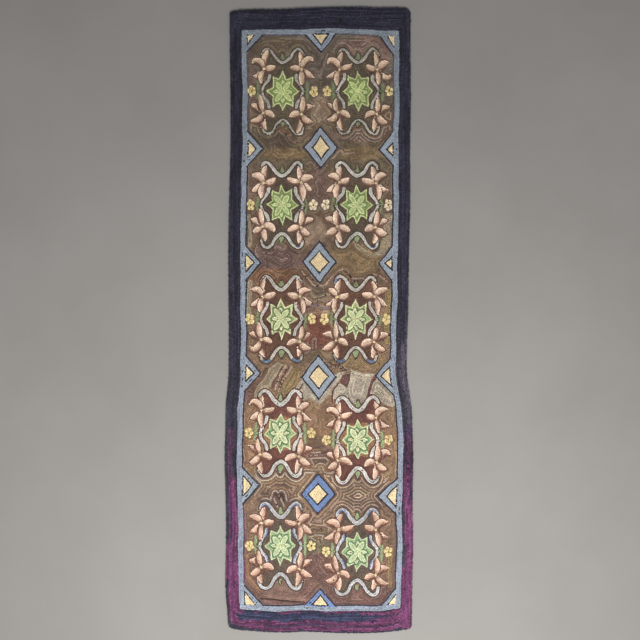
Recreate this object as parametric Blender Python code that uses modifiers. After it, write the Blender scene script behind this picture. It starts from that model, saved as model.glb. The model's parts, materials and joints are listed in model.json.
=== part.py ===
"""A hooked wool runner: one flat piece, a burlap foundation filled with rows of looped wool.

Metres, +Z up. X runs across the rug and Y along it. The underside lies on Z = 0, and the origin is the middle
of that side's box. The edges wander as hand hooking does: the rug has a waist on one long side, and its two
ends are a little unlike in width.
"""

import math

import bmesh
import bpy
import numpy as np
from mathutils import Vector

RUG = "hooked_rug"

RUG_LENGTH = 2.54  # eight feet four inches, end to end at the longest
PILE_TOP = 0.0085  # the foundation and the loops that stand on it
PILE_SWELL = 0.0005  # how far the loops' mean height rises and falls
SWELL_ACROSS = 0.31  # the length of one rise and fall across the rug
SWELL_ALONG = 0.47  # and along it

EDGE_LEAN = 0.0036  # how far the last rows round over the turned hem
EDGE_SEGMENTS = 3
CORNER_SEGMENTS = 4

CELLS_ACROSS = 18
CELLS_ALONG = 58

# The long edges: the distance along the rug from its middle, and where each edge then is across it.
LONG_EDGES = np.array(
    [
        # along, left, right
        (-1.270, -0.3660, 0.3750),
        (-1.200, -0.3705, 0.3755),
        (-1.080, -0.3790, 0.3770),
        (-0.930, -0.3775, 0.3800),
        (-0.730, -0.3780, 0.3790),
        (-0.550, -0.3825, 0.3810),
        (-0.430, -0.3790, 0.3770),
        (-0.345, -0.3775, 0.3730),
        (-0.285, -0.3720, 0.3640),
        (-0.225, -0.3670, 0.3560),
        (-0.120, -0.3660, 0.3555),
        (0.040, -0.3665, 0.3605),
        (0.280, -0.3675, 0.3640),
        (0.480, -0.3650, 0.3690),
        (0.690, -0.3595, 0.3685),
        (0.890, -0.3590, 0.3715),
        (1.110, -0.3620, 0.3700),
        (1.270, -0.3625, 0.3710),
    ]
)

# The short edges: the distance across the rug from its middle, and where each end then is along it.
SHORT_EDGES = np.array(
    [
        # across, bottom, top
        (-0.370, -1.2470, 1.2490),
        (-0.330, -1.2560, 1.2560),
        (-0.260, -1.2620, 1.2600),
        (-0.150, -1.2675, 1.2605),
        (-0.040, -1.2640, 1.2660),
        (0.060, -1.2690, 1.2690),
        (0.160, -1.2700, 1.2700),
        (0.250, -1.2675, 1.2665),
        (0.320, -1.2600, 1.2675),
        (0.375, -1.2515, 1.2660),
    ]
)

# How round each corner is: its side across the rug, its side along it, and its radius.
CORNERS = ((-1, -1, 0.014), (1, -1, 0.012), (1, 1, 0.026), (-1, 1, 0.010))

WOOL_COLOUR = (0.085, 0.062, 0.055, 1.0)
WOOL_ROUGHNESS = 0.95


def clear_scene():
    for obj in list(bpy.data.objects):
        bpy.data.objects.remove(obj, do_unlink=True)


def smooth_through(stations, values, at):
    """A soft curve through the values: each stretch is a cubic whose slopes are those of its neighbours."""
    slopes = np.gradient(values, stations)
    first = np.clip(np.searchsorted(stations, at) - 1, 0, len(stations) - 2)
    span = stations[first + 1] - stations[first]
    t = np.clip((at - stations[first]) / span, 0.0, 1.0)
    start, end = values[first], values[first + 1]
    start_slope, end_slope = slopes[first] * span, slopes[first + 1] * span
    bend = (t - 1) ** 2 * t * start_slope + (t - 1) * t**2 * end_slope
    return (2 * t + 1) * (t - 1) ** 2 * start + t**2 * (3 - 2 * t) * end + bend


def in_plan(across, along):
    """Turns a place in the even rectangle, -1 to 1 each way, into one on the rug as hooked."""
    station = along * RUG_LENGTH / 2
    left = smooth_through(LONG_EDGES[:, 0], LONG_EDGES[:, 1], station)
    right = smooth_through(LONG_EDGES[:, 0], LONG_EDGES[:, 2], station)
    x = left + (right - left) * (across + 1) / 2
    bottom = smooth_through(SHORT_EDGES[:, 0], SHORT_EDGES[:, 1], x)
    top = smooth_through(SHORT_EDGES[:, 0], SHORT_EDGES[:, 2], x)
    return x, bottom + (top - bottom) * (along + 1) / 2


def pile_height(x, y):
    """The loops' mean height: two slow waves that cross."""
    wave = math.sin(2 * math.pi * x / SWELL_ACROSS) * math.cos(2 * math.pi * y / SWELL_ALONG)
    return PILE_TOP + PILE_SWELL * wave


def round_corners(mesh):
    """Rounds the four corners of the flat sheet, each to its own radius."""
    for side, end, radius in CORNERS:
        mesh.verts.ensure_lookup_table()
        corner = max(mesh.verts, key=lambda vert: side * vert.co.x + end * vert.co.y)
        bmesh.ops.bevel(
            mesh,
            geom=[corner],
            offset=radius,
            offset_type="OFFSET",
            segments=CORNER_SEGMENTS,
            profile=0.5,
            affect="VERTICES",
        )


def sheet_in_plan():
    """The top of the rug as a flat grid whose rim follows the hooked edges."""
    mesh = bmesh.new()
    bmesh.ops.create_grid(mesh, x_segments=CELLS_ACROSS, y_segments=CELLS_ALONG, size=1.0)
    for vert in mesh.verts:
        vert.co.x, vert.co.y = (float(value) for value in in_plan(vert.co.x, vert.co.y))
    round_corners(mesh)
    return mesh


def give_thickness(mesh):
    """Draws the sheet up from its flat underside to the uneven height of the pile."""
    drawn = bmesh.ops.extrude_face_region(mesh, geom=mesh.faces[:])
    for vert in (piece for piece in drawn["geom"] if isinstance(piece, bmesh.types.BMVert)):
        vert.co.z = pile_height(vert.co.x, vert.co.y)
    bmesh.ops.recalc_face_normals(mesh, faces=mesh.faces[:])


def centre_on_origin(mesh):
    """Puts the middle of the rug's box over the origin."""
    low = Vector(min(vert.co[axis] for vert in mesh.verts) for axis in range(3))
    high = Vector(max(vert.co[axis] for vert in mesh.verts) for axis in range(3))
    middle = (low + high) / 2
    bmesh.ops.translate(mesh, verts=mesh.verts[:], vec=(-middle.x, -middle.y, -low.z))


def wool():
    material = bpy.data.materials.new("hooked_wool")
    material.use_nodes = True
    shader = material.node_tree.nodes["Principled BSDF"]
    shader.inputs["Base Color"].default_value = WOOL_COLOUR
    shader.inputs["Roughness"].default_value = WOOL_ROUGHNESS
    shader.inputs["Metallic"].default_value = 0.0
    return material


def hooked_rug(collection):
    """The rug: one slab, flat below, with softly uneven pile above and rims that round over the hem."""
    sheet = sheet_in_plan()
    give_thickness(sheet)
    centre_on_origin(sheet)
    mesh = bpy.data.meshes.new(RUG)
    sheet.to_mesh(mesh)
    sheet.free()
    rug = bpy.data.objects.new(RUG, mesh)
    collection.objects.link(rug)
    rug.data.materials.append(wool())
    rims = rug.modifiers.new("rims", "BEVEL")
    rims.width = EDGE_LEAN
    rims.segments = EDGE_SEGMENTS
    rims.limit_method = "ANGLE"
    rims.angle_limit = math.radians(60)
    mesh.shade_smooth()
    return rug


def main():
    clear_scene()
    collection = bpy.data.collections.new("hooked_runner")
    bpy.context.scene.collection.children.link(collection)
    hooked_rug(collection)


main()
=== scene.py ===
"""A hooked wool runner for a hall, laid flat and seen from straight above.

The rug is designed in plan first, in millimetres, on cells of one millimetre: which shape each cell
belongs to, which lot its wool comes from, and the colour of that wool. Then it is hooked. Rows of loops
follow the edge of every shape from its rim inwards, as a hooker works them, and each loop is a small
lump of wool that stands on the woven foundation. X runs across the rug and Y along it, and the pile is
8.5 mm high with its foundation.
"""

import json
import math

import bpy
import numpy as np
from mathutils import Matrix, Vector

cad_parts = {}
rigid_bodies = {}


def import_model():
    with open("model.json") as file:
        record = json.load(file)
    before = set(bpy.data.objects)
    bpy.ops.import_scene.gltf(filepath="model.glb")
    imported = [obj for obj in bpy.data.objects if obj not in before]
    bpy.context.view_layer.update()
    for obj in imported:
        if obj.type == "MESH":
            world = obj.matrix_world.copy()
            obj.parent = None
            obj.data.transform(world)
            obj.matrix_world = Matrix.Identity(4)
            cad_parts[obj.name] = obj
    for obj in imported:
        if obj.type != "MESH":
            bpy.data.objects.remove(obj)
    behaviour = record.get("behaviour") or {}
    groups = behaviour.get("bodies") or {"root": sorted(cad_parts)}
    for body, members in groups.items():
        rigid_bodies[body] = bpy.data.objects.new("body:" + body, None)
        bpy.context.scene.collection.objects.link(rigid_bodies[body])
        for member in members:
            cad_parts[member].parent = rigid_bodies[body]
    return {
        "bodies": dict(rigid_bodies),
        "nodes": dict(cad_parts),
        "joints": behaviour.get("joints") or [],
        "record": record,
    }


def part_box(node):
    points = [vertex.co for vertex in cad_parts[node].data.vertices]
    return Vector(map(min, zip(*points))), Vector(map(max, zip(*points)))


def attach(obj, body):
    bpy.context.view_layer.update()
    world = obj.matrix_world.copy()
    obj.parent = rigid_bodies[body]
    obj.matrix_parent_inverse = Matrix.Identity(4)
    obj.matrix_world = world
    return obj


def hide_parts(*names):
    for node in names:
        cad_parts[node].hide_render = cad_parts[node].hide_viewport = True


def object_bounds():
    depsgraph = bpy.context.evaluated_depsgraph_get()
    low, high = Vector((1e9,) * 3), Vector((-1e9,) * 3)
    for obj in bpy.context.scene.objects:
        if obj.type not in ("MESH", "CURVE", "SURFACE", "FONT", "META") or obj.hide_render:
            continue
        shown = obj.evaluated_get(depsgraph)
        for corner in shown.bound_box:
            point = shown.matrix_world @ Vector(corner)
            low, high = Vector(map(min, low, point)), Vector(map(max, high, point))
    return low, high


RUG = "hooked_rug"

# --- The rug's outline, as in the solid, in metres ------------------------------------------------

RUG_LENGTH = 2.54
PILE_TOP = 0.0085
PILE_SWELL = 0.0005
SWELL_ACROSS = 0.31
SWELL_ALONG = 0.47
CUT_SIZE = (0.762, 2.540)  # the foundation as cut, with its hem turned in

# The long edges: the distance along the rug from its middle, and where each edge then is across it.
LONG_EDGES = np.array(
    [
        (-1.270, -0.3660, 0.3750),
        (-1.200, -0.3705, 0.3755),
        (-1.080, -0.3790, 0.3770),
        (-0.930, -0.3775, 0.3800),
        (-0.730, -0.3780, 0.3790),
        (-0.550, -0.3825, 0.3810),
        (-0.430, -0.3790, 0.3770),
        (-0.345, -0.3775, 0.3730),
        (-0.285, -0.3720, 0.3640),
        (-0.225, -0.3670, 0.3560),
        (-0.120, -0.3660, 0.3555),
        (0.040, -0.3665, 0.3605),
        (0.280, -0.3675, 0.3640),
        (0.480, -0.3650, 0.3690),
        (0.690, -0.3595, 0.3685),
        (0.890, -0.3590, 0.3715),
        (1.110, -0.3620, 0.3700),
        (1.270, -0.3625, 0.3710),
    ]
)

# The short edges: the distance across the rug from its middle, and where each end then is along it.
SHORT_EDGES = np.array(
    [
        (-0.370, -1.2470, 1.2490),
        (-0.330, -1.2560, 1.2560),
        (-0.260, -1.2620, 1.2600),
        (-0.150, -1.2675, 1.2605),
        (-0.040, -1.2640, 1.2660),
        (0.060, -1.2690, 1.2690),
        (0.160, -1.2700, 1.2700),
        (0.250, -1.2675, 1.2665),
        (0.320, -1.2600, 1.2675),
        (0.375, -1.2515, 1.2660),
    ]
)

# How round each corner is: its side across the rug, its side along it, and its radius.
ROUND_CORNERS = ((-1, -1, 0.014), (1, -1, 0.012), (1, 1, 0.026), (-1, 1, 0.010))

# --- The design's measures, in millimetres --------------------------------------------------------

MM = 0.001
HALF_ACROSS = 392  # how far the drawn cells reach from the middle
HALF_ALONG = 1284

ROW = 5.4  # from one row of loops to the next in a motif
WIDE_ROW = 5.9  # and in the ground and the border
FINE_ROW = 3.2  # and in a dark line, which is one row wide
STITCH = 4.35  # from one loop to the next along a row
LINE = 5.2  # how wide a dark line is

BAND = 20.5  # the blue frame's width

# The dark border's width along the sides: the distance along the rug, then the width on the left and
# the right.
SIDE_BORDERS = np.array(
    [
        (-1200, 53, 46),
        (-1000, 52, 44),
        (-900, 49, 43),
        (-730, 48, 44),
        (-560, 48, 39),
        (-420, 48, 39),
        (-250, 48, 44),
        (100, 48, 45),
        (700, 48, 47),
        (1200, 48, 46),
    ]
)
# And at the ends: the distance across the rug, then the width at the near end and the far end.
END_BORDERS = np.array([(-320, 86, 81), (-150, 86, 84), (0, 88, 86), (170, 90, 90), (330, 90, 95)])

# Corner pieces: the side, the end, how far the slanting edge cuts across and along, and the yellow's
# two legs.
CORNER_PIECES = (
    (-1, 1, 60, 66, 22, 33),
    (1, 1, 54, 77, 19, 34),
    (-1, -1, 71, 76, 36, 50),
    (1, -1, 55, 62, 29, 30),
)

# Half diamonds on the long sides: the side, the point across and along, half the height, and how deep
# and how high on each side of its middle the yellow wedge is.
SIDE_POINTS = (
    (-1, -223, 694, 76, 33, 36),
    (-1, -231, 232, 76, 34, 36),
    (-1, -236, -216, 76, 29, 31),
    (-1, -241, -671, 80, 34, 40),
    (1, 239, 693, 76, 25, 25),
    (1, 236, 229, 76, 29, 26),
    (1, 225, -229, 80, 37, 37),
    (1, 233, -713, 79, 38, 43),
)

# Half diamonds on the short sides: the end, the point across and along, half the width, the wool, and
# half the width and the depth of the yellow wedge.
END_POINTS = ((1, 7, 1079, 65, "blue", 29, 41), (-1, 5, -1086, 66, "bright_blue", 32, 38))

# The diamonds down the middle: the place, half the width and height, those of the yellow, and the wool.
DIAMONDS = (
    (6, 699, 72, 86, 33, 42, "blue"),
    (1, 235, 73, 88, 38, 42, "blue"),
    (-2, -231, 72, 94, 36, 45, "blue"),
    (-5, -706, 73, 85, 37, 39, "bright_blue"),
)

# The medallions: the place, and which row they are in from the far end.
MEDALLIONS = (
    (-148, 927, 1),
    (158, 927, 1),
    (-151, 467, 2),
    (153, 467, 2),
    (-154, 5, 3),
    (148, 4, 3),
    (-158, -459, 4),
    (156, -485, 4),
    (-157, -915, 5),
    (154, -940, 5),
)

# --- The wools, as they look in full light, each red, green and blue out of 255 -------------------

WOOLS = {
    # Dark wools of the border and the lines.
    "navy": (48, 47, 60),
    "worn_navy": (79, 75, 85),
    "bright_navy": (56, 58, 82),
    "ink": (54, 53, 66),
    "faint_ink": (94, 92, 98),
    "violet": (70, 53, 75),
    "dark_plum": (84, 58, 79),
    "plum": (106, 60, 92),
    "magenta": (104, 60, 92),
    # Blues.
    "frame": (142, 150, 163),
    "old_frame": (130, 137, 145),
    "blue": (148, 156, 166),
    "bright_blue": (112, 132, 170),
    "shade_blue": (120, 132, 166),
    "slate": (106, 118, 138),
    # Yellows and greens.
    "yellow": (220, 200, 160),
    "ochre_yellow": (186, 160, 104),
    "blossom": (219, 203, 150),
    "pale_blossom": (228, 216, 190),
    "heart": (214, 200, 152),
    "leaf": (128, 139, 102),
    "light_leaf": (142, 156, 118),
    "dull_leaf": (120, 129, 98),
    # Browns and greys of the ground.
    "taupe": (104, 93, 84),
    "bark": (108, 95, 76),
    "umber": (111, 91, 75),
    "walnut": (126, 102, 81),
    "tan": (141, 116, 91),
    "chestnut": (145, 112, 86),
    "cedar": (126, 100, 82),
    "rosewood": (114, 86, 80),
    "fawn": (156, 134, 114),
    "mauve": (122, 97, 90),
    "dusk": (102, 80, 77),
    "peat": (92, 79, 66),
    "moss": (100, 92, 74),
    "khaki_brown": (136, 114, 82),
    "sienna": (126, 90, 68),
    "redwood": (114, 70, 57),
    "stone": (178, 168, 151),
    "khaki": (152, 138, 115),
    "cream": (190, 170, 146),
    "oat": (166, 148, 127),
    "olive": (142, 121, 84),
    "blush": (160, 136, 123),
    "rose_grey": (143, 121, 111),
    "lilac": (134, 114, 122),
    "russet": (132, 101, 88),
    "cocoa": (98, 74, 63),
    "maroon": (108, 74, 72),
    "wine": (96, 62, 58),
    "soot": (74, 55, 47),
}

# The wools that change from row to row of the medallions, each for the five rows from the far end.
MEDALLION_WOOLS = {
    "ribbon": ((172, 166, 157), (187, 183, 174), (186, 179, 170), (194, 190, 183), (179, 176, 176)),
    "inside": ((98, 87, 72), (94, 80, 68), (102, 75, 62), (112, 75, 66), (98, 84, 73)),
    "petal": ((206, 177, 151), (218, 189, 166), (207, 177, 154), (212, 181, 158), (204, 168, 146)),
    "petal_rim": ((222, 198, 174), (234, 210, 188), (232, 208, 187), (226, 204, 183), (218, 192, 172)),
    "petal_shade": ((103, 77, 64), (120, 88, 74), (108, 76, 63), (122, 84, 70), (108, 75, 63)),
    "under_petal": ((100, 78, 68), (104, 78, 68), (108, 76, 66), (112, 76, 66), (112, 76, 66)),
    "star_rim": ((196, 201, 146), (194, 199, 146), (206, 207, 165), (203, 206, 166), (188, 197, 160)),
    "star_ring": ((126, 142, 86), (124, 142, 88), (158, 172, 120), (144, 166, 118), (144, 166, 122)),
    "star_dark": ((126, 142, 88), (124, 142, 88), (108, 118, 82), (100, 122, 86), (98, 122, 90)),
    "star_fill": ((156, 170, 108), (152, 168, 108), (160, 176, 124), (150, 170, 122), (150, 170, 126)),
    "star_leaf": ((172, 186, 122), (172, 186, 126), (190, 198, 150), (190, 198, 156), (178, 189, 149)),
    "star_vein": ((194, 202, 144), (198, 205, 154), (210, 213, 171), (209, 212, 173), (196, 205, 167)),
    "leaf": ("dull_leaf", "leaf", "leaf", "light_leaf", "light_leaf"),
}

# The ground's browns from the near end to the far one: the place along the rug, and the wool.
GROUND_WOOLS = (
    (-1130, "rosewood"),
    (-980, "cedar"),
    (-800, "cedar"),
    (-650, "tan"),
    (-500, "chestnut"),
    (-300, "tan"),
    (-120, "walnut"),
    (60, "walnut"),
    (250, "umber"),
    (485, "umber"),
    (640, "bark"),
    (850, "bark"),
    (1000, "taupe"),
)

# Soft patches in the ground, where other browns were hooked: the place, how far it reaches across and
# along, the wool, and how much of it there is.
GROUND_PATCHES = (
    (6, 848, 38, 60, "fawn", 0.8),
    (-176, 1100, 100, 50, "bark", 0.8),
    (200, 1100, 100, 55, "mauve", 0.9),
    (-282, 910, 22, 110, "mauve", 0.7),
    (-156, 732, 70, 34, "peat", 1.0),
    (-136, 674, 95, 20, "khaki_brown", 0.9),
    (176, 674, 95, 26, "khaki_brown", 0.8),
    (176, 756, 120, 38, "mauve", 0.6),
    (2, 562, 34, 60, "mauve", 0.8),
    (0, 486, 42, 42, "dusk", 0.6),
    (-20, 358, 48, 58, "fawn", 0.8),
    (-184, 246, 115, 50, "dusk", 0.9),
    (136, 242, 110, 62, "khaki_brown", 0.8),
    (-188, 176, 125, 34, "sienna", 0.9),
    (-282, 552, 18, 70, "mauve", 0.7),
    (-2, 120, 40, 32, "bark", 0.8),
    (-6, 30, 44, 22, "fawn", 0.8),
    (2, -46, 52, 72, "redwood", 1.0),
    (168, -172, 120, 30, "khaki_brown", 0.7),
    (-26, -148, 80, 30, "bark", 0.6),
    (-278, -290, 34, 50, "rosewood", 0.8),
    (-4, -494, 48, 24, "umber", 0.8),
    (-2, -544, 54, 30, "dusk", 1.0),
    (180, -752, 70, 28, "dusk", 0.9),
    (-172, -724, 70, 34, "dusk", 0.9),
    (-2, -902, 54, 54, "moss", 0.9),
    (2, -1006, 64, 60, "rosewood", 0.9),
    (88, -1116, 150, 50, "rosewood", 0.8),
)

# Fields of the ground with an outline of their own: the wool and the outline's places.
GROUND_FIELDS = (
    (
        "khaki",
        (
            (266, 430), (302, 430), (302, 285), (280, 272), (256, 256), (228, 258), (204, 256),
            (176, 272), (152, 292), (136, 316), (150, 322), (166, 302), (192, 282), (220, 274),
            (242, 288), (256, 330),
        ),
    ),
    (
        "olive",
        (
            (-100, -190), (-78, -204), (-84, -240), (-100, -270), (-126, -298), (-152, -306),
            (-143, -272), (-120, -230),
        ),
    ),
    (
        "khaki",
        (
            (-209, -196), (-166, -171), (-143, -182), (-161, -210), (-181, -240), (-199, -276),
            (-209, -292), (-232, -296), (-238, -328), (-264, -330), (-262, -291), (-247, -262),
            (-224, -234),
        ),
    ),
    (
        "maroon",
        (
            (-150, -184), (-140, -188), (-156, -215), (-173, -250), (-183, -281), (-199, -278),
            (-185, -245), (-166, -215),
        ),
    ),
    (
        "cocoa",
        (
            (-217, -190), (-205, -196), (-222, -232), (-246, -262), (-264, -290), (-290, -288),
            (-254, -256),
        ),
    ),
    (
        "stone",
        (
            (-62, -222), (0, -306), (-1, -344), (-19, -332), (-42, -316), (-59, -328), (-76, -318),
            (-82, -291), (-94, -284), (-96, -274), (-80, -250),
        ),
    ),
    (
        "stone",
        (
            (60, -222), (92, -206), (102, -216), (82, -240), (68, -268), (56, -284), (54, -302),
            (38, -308), (16, -328), (-1, -344), (0, -306),
        ),
    ),
    ("stone", ((74, -264), (82, -254), (112, -273), (116, -304), (112, -322), (55, -322), (57, -286))),
    ("maroon", ((94, -222), (127, -217), (123, -245), (113, -273), (98, -262), (80, -252))),
    (
        "stone",
        (
            (127, -200), (148, -205), (177, -216), (224, -220), (211, -245), (201, -277), (194, -310),
            (189, -334), (160, -350), (132, -334), (116, -304), (113, -272), (123, -245), (127, -219),
        ),
    ),
    (
        "maroon",
        (
            (224, -220), (238, -226), (218, -256), (208, -292), (204, -320), (193, -320), (201, -277),
            (211, -245),
        ),
    ),
    (
        "stone",
        (
            (236, -238), (258, -258), (298, -300), (308, -310), (308, -344), (294, -352), (274, -344),
            (258, -336), (241, -324), (225, -312), (204, -314), (208, -292), (218, -256),
        ),
    ),
)

# Strips in the ground that run their own way: the width, the wool, and the places that the strip goes
# through.
GROUND_STRIPS = (
    (7, "rose_grey", ((34, 1080), (22, 1040), (6, 994))),
    (7, "rose_grey", ((-34, 1018), (-14, 1014), (2, 994))),
    (7, "rose_grey", ((46, 634), (30, 626), (6, 602), (-10, 618), (-34, 638), (-50, 630))),
    (8, "blush", ((56, 656), (84, 690), (104, 676), (144, 678))),
    (8, "russet", ((-34, 764), (-58, 748), (-78, 724), (-110, 724), (-132, 756), (-152, 772))),
    (18, "khaki", ((-284, 424), (-280, 302))),
    (7, "rose_grey", ((-232, 274), (-192, 274), (-172, 298), (-144, 286), (-136, 298))),
    (7, "rose_grey", ((-176, 258), (-156, 246), (-136, 250))),
    (7, "rose_grey", ((-252, 306), (-256, 278), (-244, 258))),
    (
        8,
        "blush",
        (
            (26, 144), (76, 196), (112, 206), (132, 172), (188, 172), (210, 184), (238, 180),
            (274, 156),
        ),
    ),
    (7, "wine", ((106, 196), (118, 184), (126, 166))),
    (7, "blush", ((-68, 198), (-42, 168), (-20, 142), (4, 140), (26, 144))),
    (7, "khaki", ((-34, 112), (-14, 92), (26, 104), (42, 106))),
    (24, "khaki", ((-282, 156), (-284, 6))),
    (28, "olive", ((280, 116), (274, -88))),
    (7, "rose_grey", ((-26, 66), (6, 78), (38, 74))),
    (7, "lilac", ((-34, 54), (-6, 58), (22, 46), (42, 50))),
    (7, "rose_grey", ((-26, -116), (-26, -84), (-14, -78), (-14, -112))),
    (7, "russet", ((6, -92), (6, -108), (26, -112))),
    (7, "rose_grey", ((-78, -124), (-50, -132), (-36, -118), (-26, -100))),
    (7, "rose_grey", ((18, -164), (39, -180), (55, -192), (75, -188), (96, -200), (128, -201))),
    (7, "wine", ((42, -172), (58, -184), (76, -180), (98, -192))),
    (8, "oat", ((-135, -184), (-153, -215), (-171, -255), (-178, -282))),
    (7, "wine", ((-123, -189), (-140, -220), (-156, -250), (-162, -274))),
    (8, "oat", ((-112, -189), (-128, -220), (-148, -255), (-164, -288))),
    (7, "maroon", ((-64, -254), (-88, -288))),
    (7, "wine", ((80, -258), (58, -282), (55, -300), (56, -336))),
    (7, "rose_grey", ((-38, -548), (30, -546))),
    (10, "russet", ((-298, -508), (-294, -590))),
    (7, "khaki_brown", ((-34, -524), (26, -524))),
    (8, "oat", ((-58, -606), (-2, -606), (-2, -594), (14, -594), (18, -614), (42, -620), (72, -614))),
    (7, "oat", ((-184, -724), (-168, -756))),
    (7, "oat", ((-160, -716), (-140, -756))),
    (9, "soot", ((-176, -706), (-160, -722), (-152, -704), (-144, -734))),
    (7, "khaki_brown", ((-30, -840), (26, -846))),
    (7, "khaki_brown", ((-34, -856), (22, -860))),
    (16, "chestnut", ((-290, -954), (-286, -1036), (-244, -1096))),
    (7, "soot", ((-236, -1130), (-156, -1136), (-58, -1144))),
    (22, "khaki_brown", ((290, -934), (286, -1076))),
)

STRIP_SLIMNESS = 0.42  # half a strip's width as hooked, as a share of its width

# How strongly the strips differ from each other in parts of the ground: the place, how far it reaches
# across and along, and how strong.
STRIPED_PARTS = (
    (200, 790, 130, 64, 0.75),
    (-150, 790, 130, 40, 0.60),
    (200, 1090, 130, 70, 0.48),
    (-150, 1090, 130, 70, 0.42),
    (10, 860, 50, 120, 0.40),
    (0, 480, 50, 130, 0.30),
    (0, 60, 50, 90, 0.38),
    (130, -690, 150, 84, 0.90),
    (-150, -670, 130, 60, 0.84),
    (0, -600, 80, 66, 0.90),
    (0, -830, 60, 60, 0.70),
    (-200, 220, 120, 60, 0.34),
)
PLAIN_STRIPES = 0.24  # and elsewhere
# The wools that are mixed in, in the lighter strips and in the darker ones.
PALE_STRIPS = ("cream", "fawn", "oat", "stone")
DARK_STRIPS = ("cocoa", "dusk", "peat", "sienna")

# The border's later wools: the side, from where to where across the border as a share from its outer
# rim to the frame, from where to where along the rug (or across it, at the bottom), and the wool.
BORDER_STRIPS = (
    ("left", 0.26, 0.62, -436, -660, "dark_plum"),
    ("left", 0.12, 1.01, -640, -905, "violet"),
    ("left", 0.33, 0.86, -640, -770, "plum"),
    ("left", 0.47, 1.01, -745, -930, "magenta"),
    ("left", 0.24, 0.34, -760, -930, "dark_plum"),
    ("left", -1.0, 1.01, -905, -1300, "magenta"),
    ("left", -1.0, 0.15, -1060, -1300, "ink"),
    ("right", 0.05, 0.55, -80, -440, "worn_navy"),
    ("right", 0.02, 0.97, -430, -760, "violet"),
    ("right", 0.16, 0.60, -470, -640, "dark_plum"),
    ("right", 0.34, 0.90, -600, -760, "plum"),
    ("right", -1.0, 0.78, -735, -1010, "magenta"),
    ("right", -1.0, 1.01, -1000, -1300, "magenta"),
    ("bottom", -1.0, 1.01, -322, 345, "magenta"),
    ("bottom", 0.53, 0.91, -322, 160, "bright_navy"),
    ("bottom", 0.58, 0.85, 150, 226, "bright_navy"),
    ("bottom", 0.63, 0.79, 216, 270, "bright_navy"),
    ("bottom", 0.69, 0.77, 262, 326, "violet"),
    ("bottom", 0.25, 0.39, -216, 26, "violet"),
    ("bottom", 0.26, 0.33, 20, 340, "violet"),
    ("bottom", 0.95, 1.01, -300, 300, "ink"),
    ("bottom", -1.0, 0.07, -345, 350, "ink"),
    ("bottom", -1.0, 0.12, -380, -282, "ink"),
)

# --- The medallion, in millimetres from its middle ------------------------------------------------

WAVES = {
    "top": (
        (-81, 140), (-79, 160), (-63, 173), (-44, 161), (-25, 134), (0, 117), (26, 134), (45, 161),
        (62, 173), (79, 160), (83, 141),
    ),
    "low": (
        (-86, -144), (-77, -165), (-59, -173), (-40, -162), (-23, -132), (1, -115), (24, -130),
        (42, -160), (63, -174), (79, -166), (84, -146),
    ),
    "left": ((-54, 67), (-58, 48), (-70, 31), (-80, 12), (-82, -6), (-74, -26), (-60, -42), (-54, -64)),
    "right": ((56, 65), (57, 47), (67, 31), (80, 12), (82, -6), (73, -27), (60, -44), (55, -65)),
}
# How thick each row's ribbons are at their ends and at their middle: the far one, the near one, and
# those along the sides.
RIBBON_WIDTHS = {
    1: ((9, 12), (9, 9), (12, 9)),
    2: ((10, 15), (10, 12), (14, 9)),
    3: ((10, 14), (10, 12), (12, 11)),
    4: ((12, 16), (13, 15), (13, 12)),
    5: ((12, 17), (12, 14), (12, 12)),
}
# Bluer wool in parts of the ribbons: the row, the ribbon, from where to where along it, from how far
# off its middle line to how far, to its left as it runs, and the wool.
RIBBON_SHADES = (
    (5, "top", 0.06, 0.30, -9.0, -0.5, "shade_blue"),
    (5, "top", 0.70, 0.94, -9.0, -0.5, "shade_blue"),
    (5, "left", 0.00, 0.20, 0.5, 9.0, "shade_blue"),
    (5, "left", 0.78, 1.00, 0.5, 9.0, "shade_blue"),
    (5, "right", 0.00, 0.24, -9.0, -0.5, "shade_blue"),
    (5, "right", 0.80, 1.00, -9.0, -0.5, "shade_blue"),
    (3, "low", 0.09, 0.24, -9.0, 9.0, "slate"),
    (3, "low", 0.76, 0.91, -9.0, 9.0, "slate"),
    (3, "top", 0.02, 0.10, -9.0, 9.0, "shade_blue"),
    (4, "low", 0.12, 0.22, -2.0, 2.2, "slate"),
    (4, "low", 0.78, 0.88, -2.0, 2.2, "slate"),
    (2, "low", 0.80, 0.92, 1.5, 9.0, "slate"),
)

# A flower's petals, drawn for the flower up and to the right: where the tip is from the heart, the
# petal's width, and how far it bends to its left.
PETALS = (
    ((-12, 70), 25, -0.06),
    ((47, 32), 28, 0.14),
    ((50, -32), 27, -0.12),
    ((6, -68), 25, 0.05),
    ((-52, 16), 28, 0.09),
)
# The petals' cut in each row: their width as a share of the above, how near their middle they are
# fullest, and how sharp their tips are.
PETAL_CUTS = {
    1: (1.02, 0.92, 0.72),
    2: (1.05, 0.92, 0.72),
    3: (1.02, 0.92, 0.78),
    4: (1.00, 0.92, 0.80),
    5: (1.04, 0.92, 0.80),
}
PETAL_OUTLINE = 3.2  # the dark row round each petal
# The flowers' hearts, and which way each is turned over.
FLOWERS = ((77, 90, 1, 1), (-75, 90, -1, 1), (76, -92, 1, -1), (-80, -86, -1, -1))
# Petals whose tips curl right over: the medallion, the flower and the petal.
CURLED = ((0, 0, 1), (0, 1, 1), (1, 1, 1), (1, 0, 2), (6, 1, 1), (7, 1, 1), (7, 2, 2), (4, 3, 1))

STAR_TIPS = ((0, 83), (44, 62), (66, 0), (42, -63), (0, -82), (-40, -63), (-65, 0), (-43, 62))
STAR_NOTCHES = ((15, 50), (42, 20), (41, -20), (14, -50), (-14, -50), (-40, -20), (-42, 20), (-15, 50))
# The rosette's leaves: the direction in degrees, the length and the width.
ROSETTE = (
    (0, 40, 16),
    (180, 40, 16),
    (90, 47, 17),
    (270, 48, 17),
    (53, 52, 22),
    (127, 52, 22),
    (-54, 53, 22),
    (-126, 53, 22),
)
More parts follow.
